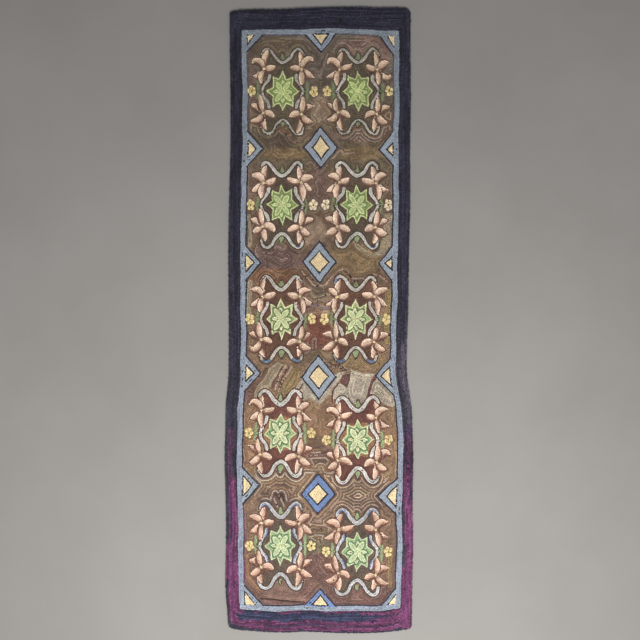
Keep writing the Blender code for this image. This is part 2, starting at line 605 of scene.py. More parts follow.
# The buds of each medallion in turn: the far one's width and height, the near one's, and how far the
# near one is from the ribbon.
BUDS = (
    ((22, 30), (22, 22), 0),
    ((22, 30), (22, 22), 0),
    ((20, 30), (25, 30), 0),
    ((20, 30), (28, 30), 0),
    ((28, 28), (30, 36), 0),
    ((28, 28), (30, 36), 0),
    ((20, 32), (32, 40), 0),
    ((24, 32), (26, 34), 0),
    ((24, 32), (13, 24), 9),
    ((24, 32), (22, 20), 12),
)
# How far the small motifs are from the medallion's middle.
FAR_BUD = 128
NEAR_BUD = 124
LEAF_BAR = 102
BLOSSOM = 126
# The hearts' radii: a flower's, the star's and a blossom's.
FLOWER_HEART = 5.5
STAR_HEART = 5
BLOSSOM_HEART = 3.4
LOBES = 5  # a blossom's petals
LOBE_PLACE = (10.5, 14.0)  # how far their middles are from its heart, across and along
BLOSSOM_RISE = 1.3  # how many times as high as wide it is
RIBBON_OUTLINE = 0.82  # the dark row beside a ribbon: its colour as a share of the inside's
BENT_ROWS = (2, 3)  # the rows where the slim leaves bend most

# --- The floor, the light and the camera, in metres -----------------------------------------------

FRAME_HEIGHT = 2.593  # how much the view takes in at the height of the pile
CAMERA_HEIGHT = 4.0
CAMERA_CENTRE = (0.0043, 0.0)
CAMERA_FAR = 40.0  # beyond every piece and the floor
SENSOR = 36.0  # in millimetres
FLOOR_SIZE = 14.0
FLOOR_DROP = 0.0003  # clear of the rug's underside
# The floor's two tones as shares of light, and where each stands in its slow unevenness, 0 to 1.
FLOOR_TONES = ((0.35, (0.181, 0.173, 0.163, 1)), (0.65, (0.198, 0.190, 0.180, 1)))
WOOL_LEVEL = 0.84  # the wools' full colours as a share of what the drawing gives
LAMP_PLACE = (0.15, -1.75, 2.45)
LAMP_AIM = (0.0, -0.35, 0.0)
LAMP_SIZE = (2.2, 1.4)
LAMP_POWER = 152.0
LAMP_COLOUR = (1.0, 0.988, 0.968)
ROOM_LIGHT = 0.60
ROOM_COLOUR = (0.97, 0.98, 1.0, 1.0)

rng = np.random.default_rng(1908)


# --- Shared tools ---------------------------------------------------------------------------------


def smooth_through(stations, values, at):
    """A soft curve through the values: each stretch is a cubic whose slopes are those of its neighbours."""
    slopes = np.gradient(values, stations)
    first = np.clip(np.searchsorted(stations, at) - 1, 0, len(stations) - 2)
    span = stations[first + 1] - stations[first]
    t = np.clip((at - stations[first]) / span, 0.0, 1.0)
    start, end = values[first], values[first + 1]
    start_slope, end_slope = slopes[first] * span, slopes[first + 1] * span
    bend = (t - 1) ** 2 * t * start_slope + (t - 1) * t**2 * end_slope
    return (2 * t + 1) * (t - 1) ** 2 * start + t**2 * (3 - 2 * t) * end + bend


def edges_at(x, y):
    """The left, right, near and far edges at a place, all in metres."""
    left = smooth_through(LONG_EDGES[:, 0], LONG_EDGES[:, 1], y)
    right = smooth_through(LONG_EDGES[:, 0], LONG_EDGES[:, 2], y)
    bottom = smooth_through(SHORT_EDGES[:, 0], SHORT_EDGES[:, 1], x)
    top = smooth_through(SHORT_EDGES[:, 0], SHORT_EDGES[:, 2], x)
    return left, right, bottom, top


def pile_height(x, y):
    """The loops' mean height in metres: two slow waves that cross."""
    wave = np.sin(2 * math.pi * x / SWELL_ACROSS) * np.cos(2 * math.pi * y / SWELL_ALONG)
    return PILE_TOP + PILE_SWELL * wave


def linear(colour):
    """A colour out of 255, as a screen shows it, turned into shares of light."""
    share = np.asarray(colour, np.float64) / 255
    return np.where(share <= 0.04045, share / 12.92, ((share + 0.055) / 1.055) ** 2.4)


def mixed(first, second, share):
    """The first colour with a share of the second, cell by cell."""
    share = np.clip(share, 0, 1)[..., None]
    return np.asarray(first) * (1 - share) + np.asarray(second) * share


def chance(first, second):
    """A number from 0 to 1 that is the same each time for the same two: a fast sine's digits past the
    point."""
    return np.abs(np.sin(first * 12.9898 + second * 78.233) * 43758.5453) % 1.0


def wavering(x, y, turn):
    """The unevenness of a drawing by hand, in millimetres: four waves that cross at slants."""
    return (
        1.0 * np.sin(x / 23 + y / 41 + turn)
        + 0.9 * np.sin(x / 57 - y / 31 + 2 * turn)
        + 0.6 * np.sin(x / 11 + y / 17 + 3 * turn)
        + 0.5 * np.sin(x / 4.1 - y / 3.7 + 4 * turn)
    )


def mottling(x, y):
    """Slow light and dark in the dye, from about -1 to 1: three waves across three others."""
    first = np.sin(x / 19 + 1.3 * np.sin(y / 43)) * np.sin(y / 27 + np.sin(x / 31))
    second = np.sin(x / 7.3 - y / 9.1 + 2 * np.sin(y / 61))
    return 0.7 * first + 0.3 * second


def smooth_path(places, steps=6):
    """A Catmull-Rom curve: each stretch leaves a place along the line between its two neighbours."""
    p = np.asarray(places, np.float64)
    p = np.vstack([2 * p[0] - p[1], p, 2 * p[-1] - p[-2]])
    t = np.linspace(0, 1, steps, endpoint=False)[None, :, None]
    a, b, c, d = (p[k : len(p) - 3 + k, None] for k in range(4))
    squared = 2 * a - 5 * b + 4 * c - d
    cubed = 3 * b - a - 3 * c + d
    curve = 0.5 * (2 * b + (c - a) * t + squared * t**2 + cubed * t**3)
    return np.vstack([curve.reshape(-1, 2), p[-2:-1]])


def from_path(x, y, path):
    """How far each cell is from a path, how far along it the nearest place is, 0 to 1, and on which
    side: 1 is to the left as the path runs."""
    steps = np.hypot(*(path[1:] - path[:-1]).T)
    along_at = np.concatenate([[0], np.cumsum(steps)]) / steps.sum()
    nearest = np.full(x.shape, 1e9)
    along, side = np.zeros(x.shape), np.zeros(x.shape)
    for k, ((ax, ay), (bx, by)) in enumerate(zip(path[:-1], path[1:])):
        ux, uy = bx - ax, by - ay
        t = np.clip(((x - ax) * ux + (y - ay) * uy) / max(ux * ux + uy * uy, 1e-9), 0, 1)
        away = np.hypot(x - ax - t * ux, y - ay - t * uy)
        nearer = away < nearest
        nearest = np.where(nearer, away, nearest)
        along = np.where(nearer, along_at[k] + t * (along_at[k + 1] - along_at[k]), along)
        side = np.where(nearer, np.sign(ux * (y - ay) - uy * (x - ax)), side)
    return nearest, along, side


def inside_outline(x, y, corners):
    """Whether each cell is inside a closed outline: a line from it crosses the outline an odd number of
    times."""
    corners = np.asarray(corners, np.float64)
    inside = np.zeros(x.shape, bool)
    for (ax, ay), (bx, by) in zip(corners, np.roll(corners, -1, 0)):
        if ay == by:
            continue
        crosses = (ay > y) != (by > y)
        inside ^= crosses & (x < (bx - ax) * (y - ay) / (by - ay) + ax)
    return inside


def leaf_width(share, fullness=1.1, point=0.65):
    """How wide a leaf or petal is along its length, 0 to 1: a half wave that is fullest about its
    middle. The greater the point, the sharper its two ends are."""
    swell = np.maximum(np.sin(np.pi * np.clip(share, 0, 1) ** fullness), 0)
    return swell**point


# --- The design in plan ---------------------------------------------------------------------------

LOTS = (
    "none",
    "border",
    "frame",
    "line",
    "ground",
    "strip",
    "inside",
    "shade",
    "diamond",
    "yellow",
    "ribbon",
    "petal",
    "green",
)


class Design:
    """The rug in plan: for each cell, the shape it belongs to, its wool lot, and its colour out of 255."""

    def __init__(self):
        across = np.arange(-HALF_ACROSS, HALF_ACROSS) + 0.5
        along = np.arange(-HALF_ALONG, HALF_ALONG) + 0.5
        self.x, self.y = np.meshgrid(across, along)
        edges = edges_at(across * MM, along * MM)
        self.left, self.right = (edge[:, None] / MM for edge in edges[:2])
        self.bottom, self.top = (edge[None, :] / MM for edge in edges[2:])
        sides = [np.interp(along, SIDE_BORDERS[:, 0], SIDE_BORDERS[:, k])[:, None] for k in (1, 2)]
        ends = [np.interp(across, END_BORDERS[:, 0], END_BORDERS[:, k])[None, :] for k in (1, 2)]
        self.frame_left, self.frame_right = self.left + sides[0], self.right - sides[1]
        self.frame_bottom, self.frame_top = self.bottom + ends[0], self.top - ends[1]
        self.hand_x = self.x + wavering(self.x, self.y, 1.0)
        self.hand_y = self.y + wavering(self.y, self.x, 2.0)
        self.shape = np.zeros(self.x.shape, np.int32)
        self.lot = np.zeros(self.x.shape, np.uint8)
        self.colour = np.zeros(self.x.shape + (3,), np.float32)
        self.shapes = 0

    def window(self, x, y, reach_x, reach_y):
        """The cells round a place."""
        many_rows, many_columns = self.x.shape
        columns = [x - reach_x + HALF_ACROSS, x + reach_x + HALF_ACROSS]
        rows = [y - reach_y + HALF_ALONG, y + reach_y + HALF_ALONG]
        columns = np.clip(columns, 0, many_columns).astype(int)
        rows = np.clip(rows, 0, many_rows).astype(int)
        return slice(*rows), slice(*columns)

    def window_round(self, places, more):
        """The cells round a set of places."""
        places = np.asarray(places, np.float64)
        middle, reach = (places.min(0) + places.max(0)) / 2, np.ptp(places, 0) / 2 + more
        return self.window(*middle, *reach)

    def cells(self, where, x=0.0, y=0.0):
        """The hand-drawn places of a window's cells, from a middle."""
        return self.hand_x[where] - x, self.hand_y[where] - y

    def lay(self, where, inside, lot, colour, own=True):
        """Gives cells their wool. A shape of its own gets its own rows, and one that isn't shares those
        there."""
        if own:
            self.shapes += 1
            self.shape[where][inside] = self.shapes
        self.lot[where][inside] = LOTS.index(lot)
        colour = np.asarray(WOOLS[colour] if isinstance(colour, str) else colour, np.float32)
        self.colour[where][inside] = colour if colour.ndim == 1 else colour[inside]


EVERYWHERE = (slice(None), slice(None))


def rim_distance(design):
    """How far inside the rug's rim each cell is, with its four corners rounded."""
    d = design
    inset = np.minimum(np.minimum(d.x - d.left, d.right - d.x), np.minimum(d.y - d.bottom, d.top - d.y))
    for side, end, radius in ROUND_CORNERS:
        radius = radius / MM
        across = d.right - d.x if side > 0 else d.x - d.left
        along = d.top - d.y if end > 0 else d.y - d.bottom
        corner = (across < radius) & (along < radius)
        inset = np.where(corner, radius - np.hypot(radius - across, radius - along), inset)
    return inset


def frame_distance(design):
    """How far inside the blue frame's outer edge each cell is."""
    d = design
    across = np.minimum(d.hand_x - d.frame_left, d.frame_right - d.hand_x)
    along = np.minimum(d.hand_y - d.frame_bottom, d.frame_top - d.hand_y)
    return np.minimum(across, along)


def draw_border(design, rim, frame):
    """The dark border: navy, with the plum strips that were hooked in when the navy ran out."""
    d = design
    faded = np.clip((60 - d.y) / 500, 0, 1) * (d.x > 0) * 0.45 + np.clip((600 - d.y) / 900, 0, 1) * 0.2
    colour = mixed(WOOLS["navy"], WOOLS["worn_navy"], faded)
    share = rim / np.maximum(rim - frame, 1)
    near_end = d.y < d.frame_bottom - 2
    for side, low, high, start, end, wool in BORDER_STRIPS:
        at = d.x if side == "bottom" else d.y
        start, end = sorted((start, end))
        uneven = 0.03 * np.sin(at / 31 + low * 40) + 0.02 * np.sin(at / 9 + high * 50)
        ragged = 8 * np.sin(d.x / 7 + d.y / 9) + 12 * np.sin(share * 19 + 2)
        inside = (share > low + uneven) & (share < high + uneven)
        inside &= (at + ragged > start) & (at + ragged < end)
        if side == "bottom":
            inside &= near_end
        else:
            inside &= (d.x < 0) if side == "left" else (d.x > 0)
        colour[inside] = WOOLS[wool]
    design.lay(EVERYWHERE, rim > 0, "border", colour)


def ground_colour(design):
    """The ground's brown in each cell: what its place along the rug gives, with the soft patches mixed
    in."""
    along = design.y[:, 0]
    places = [place for place, _ in GROUND_WOOLS]
    browns = np.array([WOOLS[wool] for _, wool in GROUND_WOOLS])
    base = np.stack([np.interp(along, places, browns[:, k]) for k in range(3)], -1)
    colour = np.repeat(base[:, None], design.x.shape[1], 1).astype(np.float32)
    for x, y, reach_x, reach_y, wool, amount in GROUND_PATCHES:
        where = design.window(x, y, reach_x * 1.6, reach_y * 1.6)
        at_x, at_y = design.cells(where, x, y)
        near = np.hypot(at_x / reach_x, at_y / reach_y)
        near = near + 0.10 * np.sin(at_x / 9 + at_y / 13) + 0.08 * np.sin(at_y / 5)
        share = np.clip((1.25 - near) / 0.4, 0, 1) * amount
        colour[where] = mixed(colour[where], WOOLS[wool], share)
    return colour


def draw_ground_and_frame(design, frame):
    """The blue frame with its dark inner line, which is plum for a stretch on the left, and the browns
    inside it."""
    d = design
    old = np.clip((d.y - 100) / 900, 0, 1) * 0.8 + 0.25 * mottling(d.x / 3, d.y / 3)
    design.lay(EVERYWHERE, frame > 0, "frame", mixed(WOOLS["frame"], WOOLS["old_frame"], old))
    line = mixed(WOOLS["ink"], WOOLS["faint_ink"], np.clip((d.y - 560) / 420, 0, 1))
    line = mixed(line, WOOLS["plum"], (d.x < 0) & (d.y < -745) & (d.y > -1080))
    design.lay(EVERYWHERE, frame > BAND, "line", line)
    design.lay(EVERYWHERE, frame > BAND + LINE, "ground", ground_colour(design))


def draw_ground_fields(design):
    """The fields and strips of the ground that have rows of their own."""
    ground = [LOTS.index("ground"), LOTS.index("strip")]
    for wool, outline in GROUND_FIELDS:
        where = design.window_round(outline, 6)
        field = inside_outline(*design.cells(where), outline) & np.isin(design.lot[where], ground)
        design.lay(where, field, "ground", wool)
    for width, wool, places in GROUND_STRIPS:
        path = smooth_path(places, steps=5)
        where = design.window_round(path, width + 6)
        away = from_path(*design.cells(where), path)[0]
        strip = (away < width * STRIP_SLIMNESS) & np.isin(design.lot[where], ground)
        design.lay(where, strip, "strip", wool)


def draw_corner_pieces(design):
    """In each corner of the frame, a slanting blue band with a dark edge and a small yellow wedge
    behind it."""
    for side, end, across, along, leg_across, leg_along in CORNER_PIECES:
        where = design.window(side * 270, end * 1130, 130, 130)
        x, y = design.cells(where)
        rows, columns = where
        a = x - design.frame_left[rows] if side < 0 else design.frame_right[rows] - x
        b = y - design.frame_bottom[:, columns] if end < 0 else design.frame_top[:, columns] - y
        a, b = a - BAND, b - BAND
        inner = (1 - (a / across + b / along)) * across * along / math.hypot(across, along)
        wedge = 1 - ((a - 2) / leg_across + (b - 2) / leg_along)
        wedge = wedge * leg_across * leg_along / math.hypot(leg_across, leg_along)
        field = (a > -BAND) & (b > -BAND)
        design.lay(where, (a > 0) & (b > 0) & (inner > -LINE), "line", "ink")
        wool = "old_frame" if end > 0 else "frame"
        design.lay(where, field & (inner > 0) & (np.maximum(a, b) > -0.1), "frame", wool)
        design.lay(where, (wedge > -LINE * 0.8) & (np.minimum(a, b) > -1), "line", "ink")
        design.lay(where, (wedge > 0) & (a > (2.5 if side < 0 else 0)) & (b > 1), "yellow", "yellow")


def draw_half_diamond(design, where, edge, beside, depth, half, wedge_depth, wedge_half, wool):
    """A half diamond on the frame: a dark line, a blue band, a dark line and a yellow wedge. The edge
    is how far a cell is from the frame, and beside is how far it is from the point's middle line."""
    inner = (1 - edge / depth - np.abs(beside) / half) * depth * half / math.hypot(depth, half)
    wedge = (1 - edge / wedge_depth - np.abs(beside) / wedge_half) * wedge_depth * wedge_half
    wedge = wedge / math.hypot(wedge_depth, wedge_half)
    design.lay(where, (edge > -1) & (inner > 0), "line", "ink")
    design.lay(where, (edge > -3) & (inner > LINE), "diamond", wool)
    design.lay(where, (edge > 0) & (wedge > -LINE), "line", "ink")
    design.lay(where, (edge > LINE * 0.8) & (wedge > 0), "yellow", "yellow")


def draw_frame_points(design):
    """The half diamonds on the frame's sides and ends."""
    for side, x, y, half, wedge_depth, wedge_half in SIDE_POINTS:
        where = design.window(x, y, 120, 110)
        at_x, at_y = design.cells(where)
        row = int(y + HALF_ALONG)
        if side < 0:
            edge = at_x - design.frame_left[where[0]] - BAND
            depth = x - design.frame_left[row, 0] - BAND
        else:
            edge = design.frame_right[where[0]] - at_x - BAND
            depth = design.frame_right[row, 0] - x - BAND
        draw_half_diamond(design, where, edge, at_y - y, depth, half, wedge_depth, wedge_half, "blue")
    for end, x, y, half, wool, wedge_half, wedge_depth in END_POINTS:
        where = design.window(x, y, 110, 110)
        at_x, at_y = design.cells(where)
        column = int(x + HALF_ACROSS)
        if end < 0:
            edge = at_y - design.frame_bottom[:, where[1]] - BAND
            depth = y - design.frame_bottom[0, column] - BAND
        else:
            edge = design.frame_top[:, where[1]] - at_y - BAND
            depth = design.frame_top[0, column] - y - BAND
        draw_half_diamond(design, where, edge, at_x - x, depth, half, wedge_depth, wedge_half, wool)


def draw_diamonds(design):
    """The diamonds down the middle: a dark line, a blue band, a dark line and a yellow heart with
    hollow sides."""
    for x, y, half_x, half_y, yellow_x, yellow_y, wool in DIAMONDS:
        where = design.window(x, y, half_x + 12, half_y + 12)
        at_x, at_y = design.cells(where, x, y)
        inner = 1 - np.abs(at_x) / half_x - np.abs(at_y) / half_y
        inner = inner * half_x * half_y / math.hypot(half_x, half_y)
        heart = 1 - (np.abs(at_x) / yellow_x) ** 0.94 - (np.abs(at_y) / yellow_y) ** 0.94
        heart = heart * yellow_x * yellow_y / math.hypot(yellow_x, yellow_y)
        design.lay(where, inner > 0, "line", "ink")
        design.lay(where, inner > LINE, "diamond", wool)
        design.lay(where, heart > -LINE, "line", "ink")
        design.lay(where, heart > 0, "yellow", "yellow")


def draw_ribbon(design, x, y, row, name, widths, colour, outline):
    """One wavy ribbon: its width changes from its ends to its middle, and a dark row runs beside it."""
    path = smooth_path(np.asarray(WAVES[name], np.float64) + (x, y))
    where = design.window_round(path, 18)
    away, along, side = from_path(*design.cells(where), path)
    half = (widths[0] + (widths[1] - widths[0]) * np.sin(np.pi * along) ** 3) / 2
    cloth = np.broadcast_to(np.asarray(colour, np.float64), away.shape + (3,)).copy()
    for at_row, at_name, start, end, low, high, wool in RIBBON_SHADES:
        if (at_row, at_name) == (row, name):
            shade = (along >= start) & (along <= end) & (away * side > low) & (away * side < high)
            cloth[shade] = WOOLS[wool]
    design.lay(where, away < half + LINE * 0.8, "shade", outline)
    design.lay(where, away < half, "ribbon", cloth)


def petal_path(tip, bend, curled):
    """The middle line of a petal from its heart: it bends to one side, and a curled one turns back at
    its tip."""
    tip = np.asarray(tip, np.float64)
    aside = np.array([-tip[1], tip[0]])
    if not curled:
        return smooth_path([(0, 0), 0.5 * tip + bend * aside, tip], steps=5)
    turn = math.copysign(1, bend)
    middle = 0.5 * tip + 0.26 * turn * aside
    shoulder = 0.92 * tip + 0.16 * turn * aside
    end = 0.98 * tip - 0.16 * turn * aside
    return smooth_path([(0, 0), middle, shoulder, end], steps=5)


def draw_petal(design, x, y, path, width, cut, lit_side, wools):
    """One petal: a bent leaf with a dark row round it, paler on its lit side and deeper on the other."""
    path = path + (x, y)
    where = design.window_round(path, width)
    away, along, side = from_path(*design.cells(where), path)
    half = width / 2 * leaf_width(along, *cut)
    across = away * side * lit_side / np.maximum(half, 1)
    colour = mixed(wools["petal"], wools["petal_rim"], (across - 0.1) * 3)
    colour = mixed(colour, wools["petal_shade"], (-across - 0.25) * 2.0 * (1 - along**3))
    colour = mixed(colour, wools["petal_rim"], (along - 0.84) * 6)
    colour = mixed(colour, wools["petal_shade"], (0.30 - along) * 3)
    design.lay(where, away < half + PETAL_OUTLINE, "line", wools["under_petal"])
    design.lay(where, away < half, "petal", colour)


def draw_under_petal(design, x, y, path, width, cut, wools):
    """The dark red wool below a petal, as its shade on the ground."""
    path = path * 0.95 + (x + 1, y - 5.5)
    where = design.window_round(path, width)
    away, along, _ = from_path(*design.cells(where), path)
    design.lay(where, away < width / 2 * leaf_width(along, *cut), "shade", wools["under_petal"])


def draw_flower(design, number, flower, x, y, row, wools):
    """Five petals round a small heart, each a little unlike the next."""
    heart_x, heart_y, turn_x, turn_y = FLOWERS[flower]
    x, y = x + heart_x, y + heart_y
    slimness, *cut = PETAL_CUTS[row]
    petals = []
    for k, (tip, width, bend) in enumerate(PETALS):
        length = rng.uniform(0.92, 1.08)
        tip = (tip[0] * turn_x * length + rng.uniform(-6, 6), tip[1] * turn_y * length + rng.uniform(-5, 5))
        upright = abs(tip[1]) > abs(tip[0])
        lit_side = rng.choice((-1, 1)) if upright else math.copysign(1, tip[0])
        bend = bend * turn_x * turn_y * rng.uniform(0.4, 1.9)
        path = petal_path(tip, bend, (number, flower, k) in CURLED)
        petals.append((path, width * slimness * rng.uniform(0.9, 1.12), lit_side))
    for path, width, _ in petals:
        draw_under_petal(design, x, y, path, width, cut, wools)
    for path, width, lit_side in petals:
        draw_petal(design, x, y, path, width, cut, lit_side, wools)
    where = design.window(x, y, 12, 12)
    design.lay(where, np.hypot(*design.cells(where, x, y)) < FLOWER_HEART, "petal", "heart")


def draw_star(design, x, y, wools):
    """The eight-pointed star: a pale rim, a dark row and a lighter field, with a rosette of eight
    leaves on it."""
    where = design.window(x, y, 80, 98)
    at_x, at_y = design.cells(where, x, y)
    outline = np.array([corner for pair in zip(STAR_TIPS, STAR_NOTCHES) for corner in pair], np.float64)
    outline += rng.uniform(-3, 3, outline.shape)
    away = from_path(at_x, at_y, np.vstack([outline, outline[:1]]))[0]
    star = inside_outline(at_x, at_y, outline)
    rings = ((ROW, "star_rim"), (1.8 * ROW, "star_ring"), (99, "star_fill"))
    within = [(away < width)[..., None] for width, _ in rings]
    colour = np.select(within, [np.array(wools[wool]) for _, wool in rings])
    design.lay(where, star, "green", colour)
    for angle, length, width in ROSETTE:
        turn = math.radians(angle + rng.uniform(-5, 5))
        length = length * rng.uniform(0.93, 1.05)
        u = (at_x * math.cos(turn) + at_y * math.sin(turn)) / length
        v = at_y * math.cos(turn) - at_x * math.sin(turn)
        half = width / 2 * leaf_width(u)
        leaf = (u > 0) & (u < 1) & (np.abs(v) < half)
        gap = star & (u > 0.2) & (u < 1.08) & (np.abs(v) < width / 2 * leaf_width(u / 1.08) + 3.6)
        design.lay(where, gap & ~leaf, "green", wools["star_dark"], own=False)
        rim = (np.abs(v) > half - ROW * 0.75) | (u > 0.84)
        design.lay(where, leaf, "green", np.where(rim[..., None], wools["star_vein"], wools["star_leaf"]))
    design.lay(where, np.hypot(at_x, at_y) < STAR_HEART, "green", "heart")


def draw_blossom(design, x, y, wool):
    """A small yellow blossom: five round petals, parted by deeper lines, about a deeper heart."""
    where = design.window(x, y, 28, 34)
    at_x, at_y = design.cells(where, x, y)
    start = rng.uniform(0, 2 * math.pi)
    lobes = np.zeros(at_x.shape, bool)
    turn = np.arctan2(at_y / BLOSSOM_RISE, at_x)
    parted = np.zeros(at_x.shape, bool)
    for k in range(LOBES):
        angle = start + k * 2 * math.pi / LOBES + rng.uniform(-0.15, 0.15)
        reach = rng.uniform(7.0, 8.6)
        lobe_x, lobe_y = LOBE_PLACE[0] * math.cos(angle), LOBE_PLACE[1] * math.sin(angle)
        lobes |= np.hypot(at_x - lobe_x, (at_y - lobe_y) / 1.15) < reach
        parted |= np.abs(np.sin((turn - angle - math.pi / LOBES) / 2)) < 0.11
    radius = np.hypot(at_x, at_y / BLOSSOM_RISE)
    deeper = (parted & (radius < 13)) | (radius < BLOSSOM_HEART)
    colour = np.where(deeper[..., None], WOOLS["ochre_yellow"], WOOLS[wool])
    design.lay(where, lobes, "yellow", colour)


def draw_leaf_bar(design, x, y, side, row, wool):
    """Two slim leaves, one up and one down, on a short stalk that comes from the ribbon."""
    where = design.window(x, y, 36, 60)
    at_x, at_y = design.cells(where, x, y)
    sway, lean, slim = (7, 1, 4.4) if row in BENT_ROWS else (3, 0.8, 6.0)
    for end in (-1, 1):
        u = at_y * end / rng.uniform(42, 49)
        half = slim * leaf_width(u, 0.7)
        middle = -side * sway * np.sin(np.clip(u, 0, 1) * 2.6) * lean
        design.lay(where, (u > -0.02) & (u < 1) & (np.abs(at_x - middle) < half), "green", wool)
    design.lay(where, (np.abs(at_y) < 3) & (at_x * side < 3) & (at_x * side > -22), "green", wool)


def draw_bud(design, x, y, end, size, wool, outline):
    """A green bud: a drop that is broad next to the star and comes to a point away from it."""
    where = design.window(x, y, 30, 34)
    at_x, at_y = design.cells(where, x, y)
    u = (at_y * end + size[1] / 2) / size[1]
    half = size[0] / 2 * np.clip(1.08 - u, 0, 1) ** 0.75 * np.clip(u * 6, 0, 1) ** 0.4
    design.lay(where, (u > -0.12) & (u < 1.12) & (np.abs(at_x) < half + 3.5), "shade", outline)
    design.lay(where, (u > 0) & (u < 1) & (np.abs(at_x) < half), "green", wool)


def draw_inside(design, x, y, row, wools):
    """The dark wool inside the ribbons, which gives way to the ground's brown beside the star in one
    row."""
    paths = {name: smooth_path(np.array(wave, np.float64)) for name, wave in WAVES.items()}
    hearts = [np.array([flower[:2]], np.float64) for flower in FLOWERS]
    outline = [paths["top"], hearts[0], paths["right"], hearts[2]]
    outline += [paths["low"][::-1], hearts[3], paths["left"][::-1], hearts[1]]
    outline = np.vstack(outline) + (x, y)
    where = design.window(x, y, 116, 200)
    at_x, at_y = design.cells(where)
    inside = inside_outline(at_x, at_y, outline)
    colour = np.broadcast_to(np.array(wools["inside"], np.float64), inside.shape + (3,)).copy()
    if row == 4:
        colour[np.abs(at_y - y) < 64 + 6 * np.sin(at_x / 13)] = WOOLS["chestnut"]
    design.lay(where, inside, "inside", colour)


def draw_medallion(design, number, x, y, row):
    """One medallion: four ribbons round a star, with flowers at the corners and buds and blossoms
    outside."""
    wools = {name: colours[row - 1] for name, colours in MEDALLION_WOOLS.items()}
    outline = np.array(wools["inside"]) * RIBBON_OUTLINE
    draw_inside(design, x, y, row, wools)
    far_bud, near_bud, gap = BUDS[number]
    far_wool = "dull_leaf" if row == 1 else wools["leaf"]
    near_wool = "leaf" if row == 1 else "light_leaf"
    draw_bud(design, x + 1, y + FAR_BUD + far_bud[1] / 2, 1, far_bud, far_wool, outline)
    draw_bud(design, x, y - NEAR_BUD - gap - near_bud[1] / 2, -1, near_bud, near_wool, outline)
    for name, kind in (("top", 0), ("low", 1), ("left", 2), ("right", 2)):
        draw_ribbon(design, x, y, row, name, RIBBON_WIDTHS[row][kind], wools["ribbon"], outline)
    for side in (-1, 1):
        pale = row == 2 and (side > 0 or x > 0)
        draw_leaf_bar(design, x + side * LEAF_BAR, y, side, row, wools["leaf"])
        draw_blossom(design, x + side * BLOSSOM, y, "pale_blossom" if pale else "blossom")
    draw_star(design, x, y, wools)
    for flower in range(len(FLOWERS)):
        draw_flower(design, number, flower, x, y, row, wools)


def drawn():
    """The whole design, from the rim inwards."""
    design = Design()
    rim, frame = rim_distance(design), frame_distance(design)
    draw_border(design, rim, frame)
    draw_ground_and_frame(design, frame)
    draw_ground_fields(design)
    draw_corner_pieces(design)
    draw_frame_points(design)
    draw_diamonds(design)
    for number, (x, y, row) in enumerate(MEDALLIONS):
        draw_medallion(design, number, x, y, row)
    return design, rim


# --- Rows of loops --------------------------------------------------------------------------------

# Which sides of a cell a row crosses, for each set of its corners that lies inside. The corners count 1
# low left, 2 low right, 4 high right and 8 high left, and the sides are 0 low, 1 right, 2 high and 3
# left.
CROSSINGS = {
    1: ((0, 3),),
    2: ((1, 0),),
    3: ((1, 3),),
    4: ((2, 1),),
    5: ((0, 3), (2, 1)),
    6: ((2, 0),),
    7: ((2, 3),),
    8: ((3, 2),),
    9: ((0, 2),),
    10: ((1, 0), (3, 2)),
    11: ((1, 2),),
    12: ((3, 1),),
    13: ((0, 1),),
    14: ((3, 0),),
}
FAR = 10_000
FILLED = 20  # the depth that is noted for a loop that was put into a gap between rows

# How the loops are set out, in millimetres.
WIDE_APART = 4.15  # how close two loops may come in the wide rows
FINE_APART = 3.7  # and in a dark line
APART = 3.85  # and in a motif
WIDE_GAP = 4.0  # how far from every loop a bare spot in the wide rows is before it gets its own
GAP = 3.75  # and elsewhere
SPOTS_APART = 4.0  # how close two such loops may come
FILLED_INSET = 2.2  # how far inside the rim the bare spots are looked for
COVERED_INSET = 1.5  # and how far inside it the loops' reach is measured
COVERING = 1.04  # a loop's reach as a share of the barest place's distance near it
LEAST_REACH = 2.75
MOST_REACH = 3.9
DEEPEST = 50  # how far from an edge the rows go
OUTSIDE = -0.8  # the depth that is noted outside the rim
GAP_SQUARE = 40  # the loops that fill gaps share a strip of wool in squares of this side
SQUARES = 97  # more than there are side by side, so that each square has its own number
MARGIN = 8  # free cells round the drawn ones, so that every loop has neighbours to look at


def nearest_in_column(marks):
    """For each cell, how many cells away the nearest mark in its column is."""
    rows = np.arange(len(marks))[:, None]
    below = np.maximum.accumulate(np.where(marks, rows, -FAR), axis=0)
    above = np.minimum.accumulate(np.where(marks, rows, FAR)[::-1], axis=0)[::-1]
    return np.minimum(rows - below, above - rows).astype(np.float32)


def distance_to(marks, reach):
    """How far the nearest mark is: the least, over the columns near by, of the distance along and
    across."""
    column = nearest_in_column(marks) ** 2
    least = column.copy()
    for step in range(1, reach + 1):
        least[:, step:] = np.minimum(least[:, step:], column[:, :-step] + step * step)
        least[:, :-step] = np.minimum(least[:, :-step], column[:, step:] + step * step)
    return np.sqrt(least)


def shape_edges(shape):
    """The cells on either side of every line between two shapes."""
    marks = np.zeros(shape.shape, bool)
    across = shape[:, 1:] != shape[:, :-1]
    along = shape[1:] != shape[:-1]
    marks[:, 1:] |= across
    marks[:, :-1] |= across
    marks[1:] |= along
    marks[:-1] |= along
    return marks


def softened(field):
    """Each cell averaged with its neighbours, half its own and a quarter of each, both ways."""
    field = field.copy()
    field[1:-1] = (field[1:-1] * 2 + field[:-2] + field[2:]) / 4
    field[:, 1:-1] = (field[:, 1:-1] * 2 + field[:, :-2] + field[:, 2:]) / 4
    return field


def greatest_near(field, reach):
    """The greatest value within so many cells, both ways."""
    for axis in (0, 1):
        shifted = [np.roll(field, step, axis) for step in range(-reach, reach + 1)]
        field = np.maximum.reduce(shifted)
    return field


